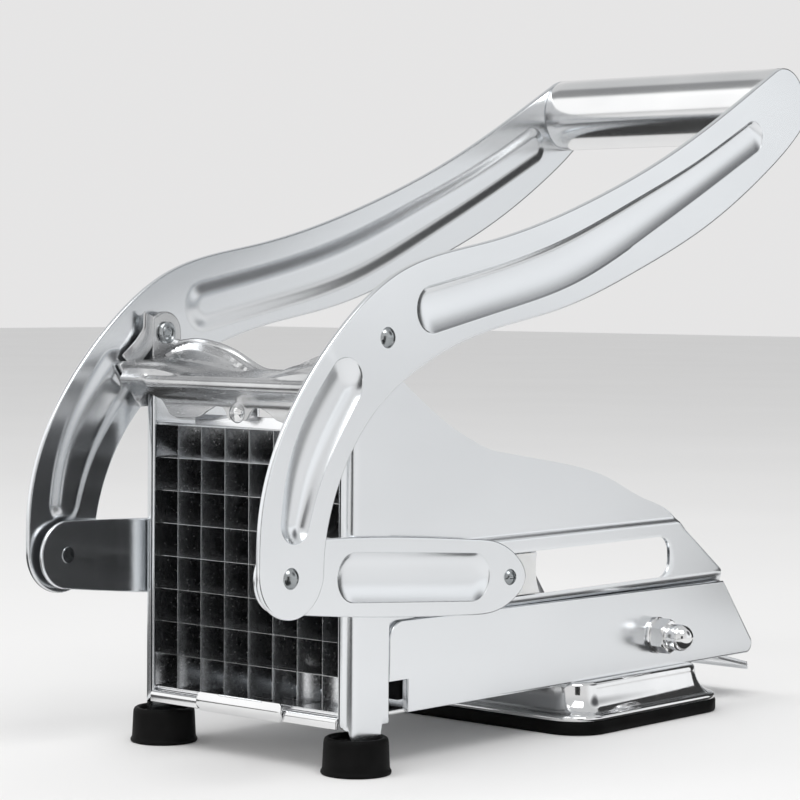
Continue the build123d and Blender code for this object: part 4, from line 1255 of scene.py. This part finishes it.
def make_dish():
    """Pressed dish: a flat rim, a hollow turn up into the wall, and a rounded top under the pan."""
    long, wide, corner = 74.4, 96.2, 10.7
    outside = [(7.5, 14.4), (6.2, 14.38), (5.5, 14.2), (5.1, 13.8), (4.96, 13.3), (4.9, 12.5), (4.76, 11.5)]
    outside += [(4.54, 10.5), (4.24, 9.5), (3.86, 8.6), (3.42, 7.8), (2.9, 7.1), (2.3, 6.5), (1.7, 6.1)]
    outside += [(1.1, 5.85), (0.6, 5.65), (0.2, 5.35), (0, 4.9), (0, 4.4), (0.12, 4.08), (0.4, 4.0)]
    lining = [(4.0, 4.0), (4.9, 5.0), (5.3, 7.8), (5.5, 10.0), (5.8, 12.3), (6.4, 13.0), (7.5, 13.2)]
    loops = [
        (rounded_rectangle(long - 2 * shrink, wide - 2 * shrink, corner - 0.35 * shrink), z)
        for shrink, z in outside + lining
    ]
    top, under = outside[0][1], lining[-1][1]
    hole = round_hole(loops[0][0], STUD_HOLE)
    shape = stacked([(hole, top), *loops, (hole, under), (hole, top)], capped=False)
    piece("dish", shape, "frame", CHROME, "bright_steel", ["suction_dish"])


def make_pad():
    """Rubber pad with a rounded foot, a small step under the dish's rim and a pocket for its middle."""
    long, wide, corner, top, pocket_radius, pocket_floor = 75, 96.8, 11, 4.0, 14.0, 1.0
    profile = [(1.1, 0.0), (0.35, 0.12), (0.05, 0.5), (0, 1.0), (0, 3.1), (0.12, 3.6), (0.5, 3.9), (1.2, top)]
    loops = [
        (rounded_rectangle(long - 2 * shrink, wide - 2 * shrink, corner - shrink), z) for shrink, z in profile
    ]
    pocket = round_hole(loops[0][0], pocket_radius)
    shape = stacked([*loops, (pocket, top), (pocket, pocket_floor)])
    piece("pad", shape, "frame", RUBBER, "black_rubber", ["suction_pad"])


def make_nuts():
    """Dome nuts over the cross bolt's ends, and the washers under them."""
    flats, high, dome_radius, bore, bore_end, sides = 4.6, 4.6, 4.0, 3.1, 46.0, 96
    top = NUT_BASE + high
    angles = np.linspace(0, 2 * np.pi, sides, endpoint=False)
    hexagon = flats / np.cos((angles + math.pi / 6) % (math.pi / 3) - math.pi / 6)
    rows = []
    for rise in (0, 0.08, 0.16, 0.26, 0.4, 0.6, 0.9, 2.3, 3.7, 4.0, 4.2, 4.34, 4.44, 4.52, high):
        chamfer = flats + 1.1 * min(rise, high - rise) ** 0.8
        reach = np.minimum(hexagon, chamfer)
        level = np.full(sides, NUT_BASE + rise)
        rows.append(np.column_stack([reach * np.cos(angles), level, reach * np.sin(angles)]))
    shape = Shape().rows(rows)
    waist = [(flats, 0), (4.2, 0.02), (3.75, 0.15), (3.6, 0.5), (3.65, 1.0), (3.9, 1.2), (dome_radius, 1.4)]
    seat = NUT_TIP - dome_radius
    turns = np.radians(np.arange(0, 91, 7.5))
    profile = [(r, top + rise) for r, rise in waist]
    profile += [(dome_radius * math.cos(a), seat + dome_radius * math.sin(a)) for a in turns]
    turned(shape, profile, count=sides)
    turned(shape, [(flats, NUT_BASE), (bore, NUT_BASE), (bore, bore_end), (0, bore_end)], count=sides)
    pair("dome_nuts", shape, *BOLT, "frame", CHROME, "bright_steel", ["acorn_nuts"])

    ring = [(3.05, SKIRT_OUTER), (5.3, SKIRT_OUTER), (5.5, 39.55), (5.5, 40.1), (5.25, NUT_BASE)]
    ring += [(3.05, NUT_BASE), (3.05, SKIRT_OUTER)]
    pair("washers", turned(Shape(), ring), *BOLT, "frame", CHROME, "bright_steel", ["bolt_washers"])


def soften_the_rest():
    """Plain turned and bent parts keep their CAD shape, with rounded edges."""
    rest = (
        ("pull_bracket", "pusher_bracket", "pusher", SATIN, "satin_steel", 0.4),
        ("block_screws", "pusher_screws", "pusher", RIVET, "pin_steel", 0.2),
        ("pull_rod", "cross_rod", "pusher", RIVET, "pin_steel", 0.3),
        ("collars", "rod_collars", "pusher", RIVET, "pin_steel", 0.3),
        ("toggle_lever", "suction_lever", "vacuum_lever", SATIN, "satin_steel", 0.35),
        ("toggle_pin", "lever_pin", "vacuum_lever", RIVET, "pin_steel", 0.25),
        ("lifting_stud", "suction_stud", "vacuum_stud", RIVET, "pin_steel", 0.3),
        ("dish_rivet_heads", "dish_rivets", "frame", RIVET, "pin_steel", 0.3),
        ("bolt_spacers", "spacer_tubes", "frame", RIVET, "pin_steel", 0.2),
        ("through_bolt", "cross_bolt", "frame", RIVET, "pin_steel", 0.3),
    )
    for name, node, body, finish, slot, width in rest:
        softened(name, node, body, finish, slot, width)


# ---------------------------------------------------------------- camera, light, floor

def make_camera():
    """Camera at the front left, a little above the middle of the object."""
    focal_pixels, picture_pixels, sensor = 2606.04, 800, 36.0
    yaw, pitch, roll = (math.radians(a) for a in (-48.907, 2.392, 0.411))
    stand = Vector((-0.63067, -0.49571, 0.12770))
    back = Vector((math.sin(yaw) * math.cos(pitch), -math.cos(yaw) * math.cos(pitch), math.sin(pitch)))
    right = (-back).cross(Vector((0, 0, 1))).normalized()
    up = right.cross(-back)
    level, rise = right * math.cos(roll) + up * math.sin(roll), up * math.cos(roll) - right * math.sin(roll)
    data = bpy.data.cameras.new("camera")
    data.lens = focal_pixels * sensor / picture_pixels
    data.sensor_width = sensor
    data.clip_start, data.clip_end = 0.01, 50
    camera = add_object("camera", data)
    camera.matrix_world = Matrix.Translation(stand) @ Matrix((level, rise, back)).transposed().to_4x4()
    bpy.context.scene.camera = camera


def make_world():
    """Pale studio, a little darker overhead, with two bright and two dark patches."""
    base = (0.79, 0.785, 0.785, 1)
    # Each patch: its direction, the cosines to it where it starts and is full, and its colour.
    patches = (
        ((0.0, 0.0, 1.0), 0.35, 0.75, (0.64, 0.645, 0.65)),
        ((0.75, -0.66, 0.0), 0.55, 0.88, (1.02, 1.03, 1.04)),
        ((-0.74, 0.62, 0.26), 0.72, 0.90, (1.15, 1.15, 1.15)),
        ((-0.24, 0.60, 0.77), 0.955, 0.99, (0.28, 0.285, 0.29)),
        ((0.56, -0.67, 0.485), 0.93, 0.996, (0.10, 0.10, 0.105)),
    )
    world = bpy.data.worlds.new("studio")
    bpy.context.scene.world = world
    world.use_nodes = True
    world.node_tree.nodes.clear()
    nodes = Nodes(world.node_tree)
    direction = nodes.add("ShaderNodeTexCoord").outputs["Generated"]
    colour = nodes.add("ShaderNodeRGB").outputs[0]
    colour.default_value = base
    for towards, start, full, value in patches:
        towards = unit(towards)
        cosine = nodes.add("ShaderNodeVectorMath", {0: direction, 1: towards}, operation="DOT_PRODUCT")
        ends = {"Value": cosine.outputs["Value"], "From Min": start, "From Max": full}
        share = nodes.add("ShaderNodeMapRange", ends, interpolation_type="SMOOTHSTEP")
        colour = nodes.mixed(share.outputs["Result"], colour, value)
    background = nodes.add("ShaderNodeBackground", {"Strength": 1.0, "Color": colour})
    nodes.add("ShaderNodeOutputWorld", {"Surface": background.outputs["Background"]})


def make_lights():
    """Two large soft lamps above: the key at the front left, the fill in front and a little to the right."""
    middle = Vector((-0.04, 0, 0.09))
    for name, stand, size, power in (
        ("key", (-0.5, -0.9, 1.6), 0.9, 9.5),
        ("fill", (-0.8, 0.25, 1.3), 0.8, 5.5),
    ):
        data = bpy.data.lights.new(name, "AREA")
        data.shape = "SQUARE"
        data.size = size
        data.energy = power
        lamp = add_object(name, data)
        lamp.location = stand
        lamp.rotation_euler = (middle - Vector(stand)).to_track_quat("-Z", "Y").to_euler()
        lamp.visible_camera = False


def stage_panel(name, corners, material):
    """Flat panel that belongs to the studio and not to the object."""
    mesh = bpy.data.meshes.new(name)
    mesh.from_pydata(corners, [], [tuple(range(len(corners)))])
    mesh.materials.append(material)
    panel = add_object(name, mesh)
    return panel


def make_flags():
    """Black panels that stand and lie round the object, which only the metal's reflections see."""
    material, nodes, shader = new_finish("black_flag")
    folds = nodes.noise((0.01, 0.01, 0.01), detail=2.0)
    nodes.feed(shader.inputs["Base Color"], nodes.mixed(folds, (0.015, 0.015, 0.015), (0.03, 0.03, 0.03)))
    shader.inputs["Roughness"].default_value = 0.9
    # Standing panels: the two ends of each on the floor, and its height.
    standing = (
        ("rear", (0.85, -0.42), (0.85, 0.35), 0.90),
        ("front", (-0.28, -0.56), (-0.44, -0.45), 0.25),
    )
    lying = (
        ("rear_floor", ((0.26, -0.21), (0.85, -0.44), (0.85, 0.15), (0.26, 0.06))),
        ("front_floor", ((-0.14, -0.10), (-0.28, -0.56), (-0.44, -0.45), (-0.38, -0.14), (-0.18, -0.06))),
        ("left_floor", ((-0.45, 0.09), (0.05, 0.09), (0.05, 0.22), (-0.45, 0.52))),
        # A black sheet that stands in for shade on the floor beside the near skirt, seen only in the metal's
        # reflections.
        ("near_floor", ((-0.04, -0.05), (-0.02, -0.08), (0.16, -0.08), (0.16, -0.05))),
    )
    above_floor = 0.001
    panels = [(name, [(*a, 0), (*b, 0), (*b, high), (*a, high)]) for name, a, b, high in standing]
    panels += [(name, [(*corner, above_floor) for corner in corners]) for name, corners in lying]
    for name, corners in panels:
        flag = stage_panel("flag_" + name, corners, material)
        flag.visible_camera = flag.visible_diffuse = flag.visible_shadow = False
        flag.visible_transmission = flag.visible_volume_scatter = False


def make_floor():
    """Plain pale floor."""
    half = 6.0
    material, nodes, shader = new_finish("floor")
    clouds = nodes.noise((0.004, 0.004, 0.004), detail=2.0)
    nodes.feed(shader.inputs["Base Color"], nodes.mixed(clouds, (0.84, 0.835, 0.83), (0.88, 0.875, 0.87)))
    nodes.feed(shader.inputs["Roughness"], nodes.ranged(clouds, 0.3, 0.7, 0.75, 0.85))
    shader.inputs["Specular IOR Level"].default_value = 0.0
    stage_panel("floor", [(-half, -half, 0), (half, -half, 0), (half, half, 0), (-half, half, 0)], material)


CAD_FINISHES = {
    "satin_steel": SATIN,
    "bright_steel": CHROME,
    "blade_steel": BLADE,
    "pin_steel": RIVET,
    "black_plastic": BLACK_PLASTIC,
    "pale_plastic": NYLON,
    "black_rubber": RUBBER,
}


def finish_cad_nodes():
    """Gives the CAD nodes that stay in view the finish of their material slot."""
    slots = {part["node"]: part["material_slot"] for part in frame["record"]["subparts"]}
    for name, node in frame["nodes"].items():
        node.data.materials.clear()
        node.data.materials.append(CAD_FINISHES[slots[name]])


ROW_TREE = row_tree()

bpy.context.scene.view_settings.view_transform = "Standard"
make_camera()
make_world()
make_lights()
make_flags()
make_floor()
finish_cad_nodes()
make_arms()
make_grip()
make_rivets()
make_links()
make_link_screws()
make_walls()
make_pan()
make_posts()
make_feet()
make_rail()
make_bracket()
make_blades()
make_pusher_block()
make_shoes()
make_cartridge_screw()
make_dish()
make_pad()
make_nuts()
soften_the_rest()
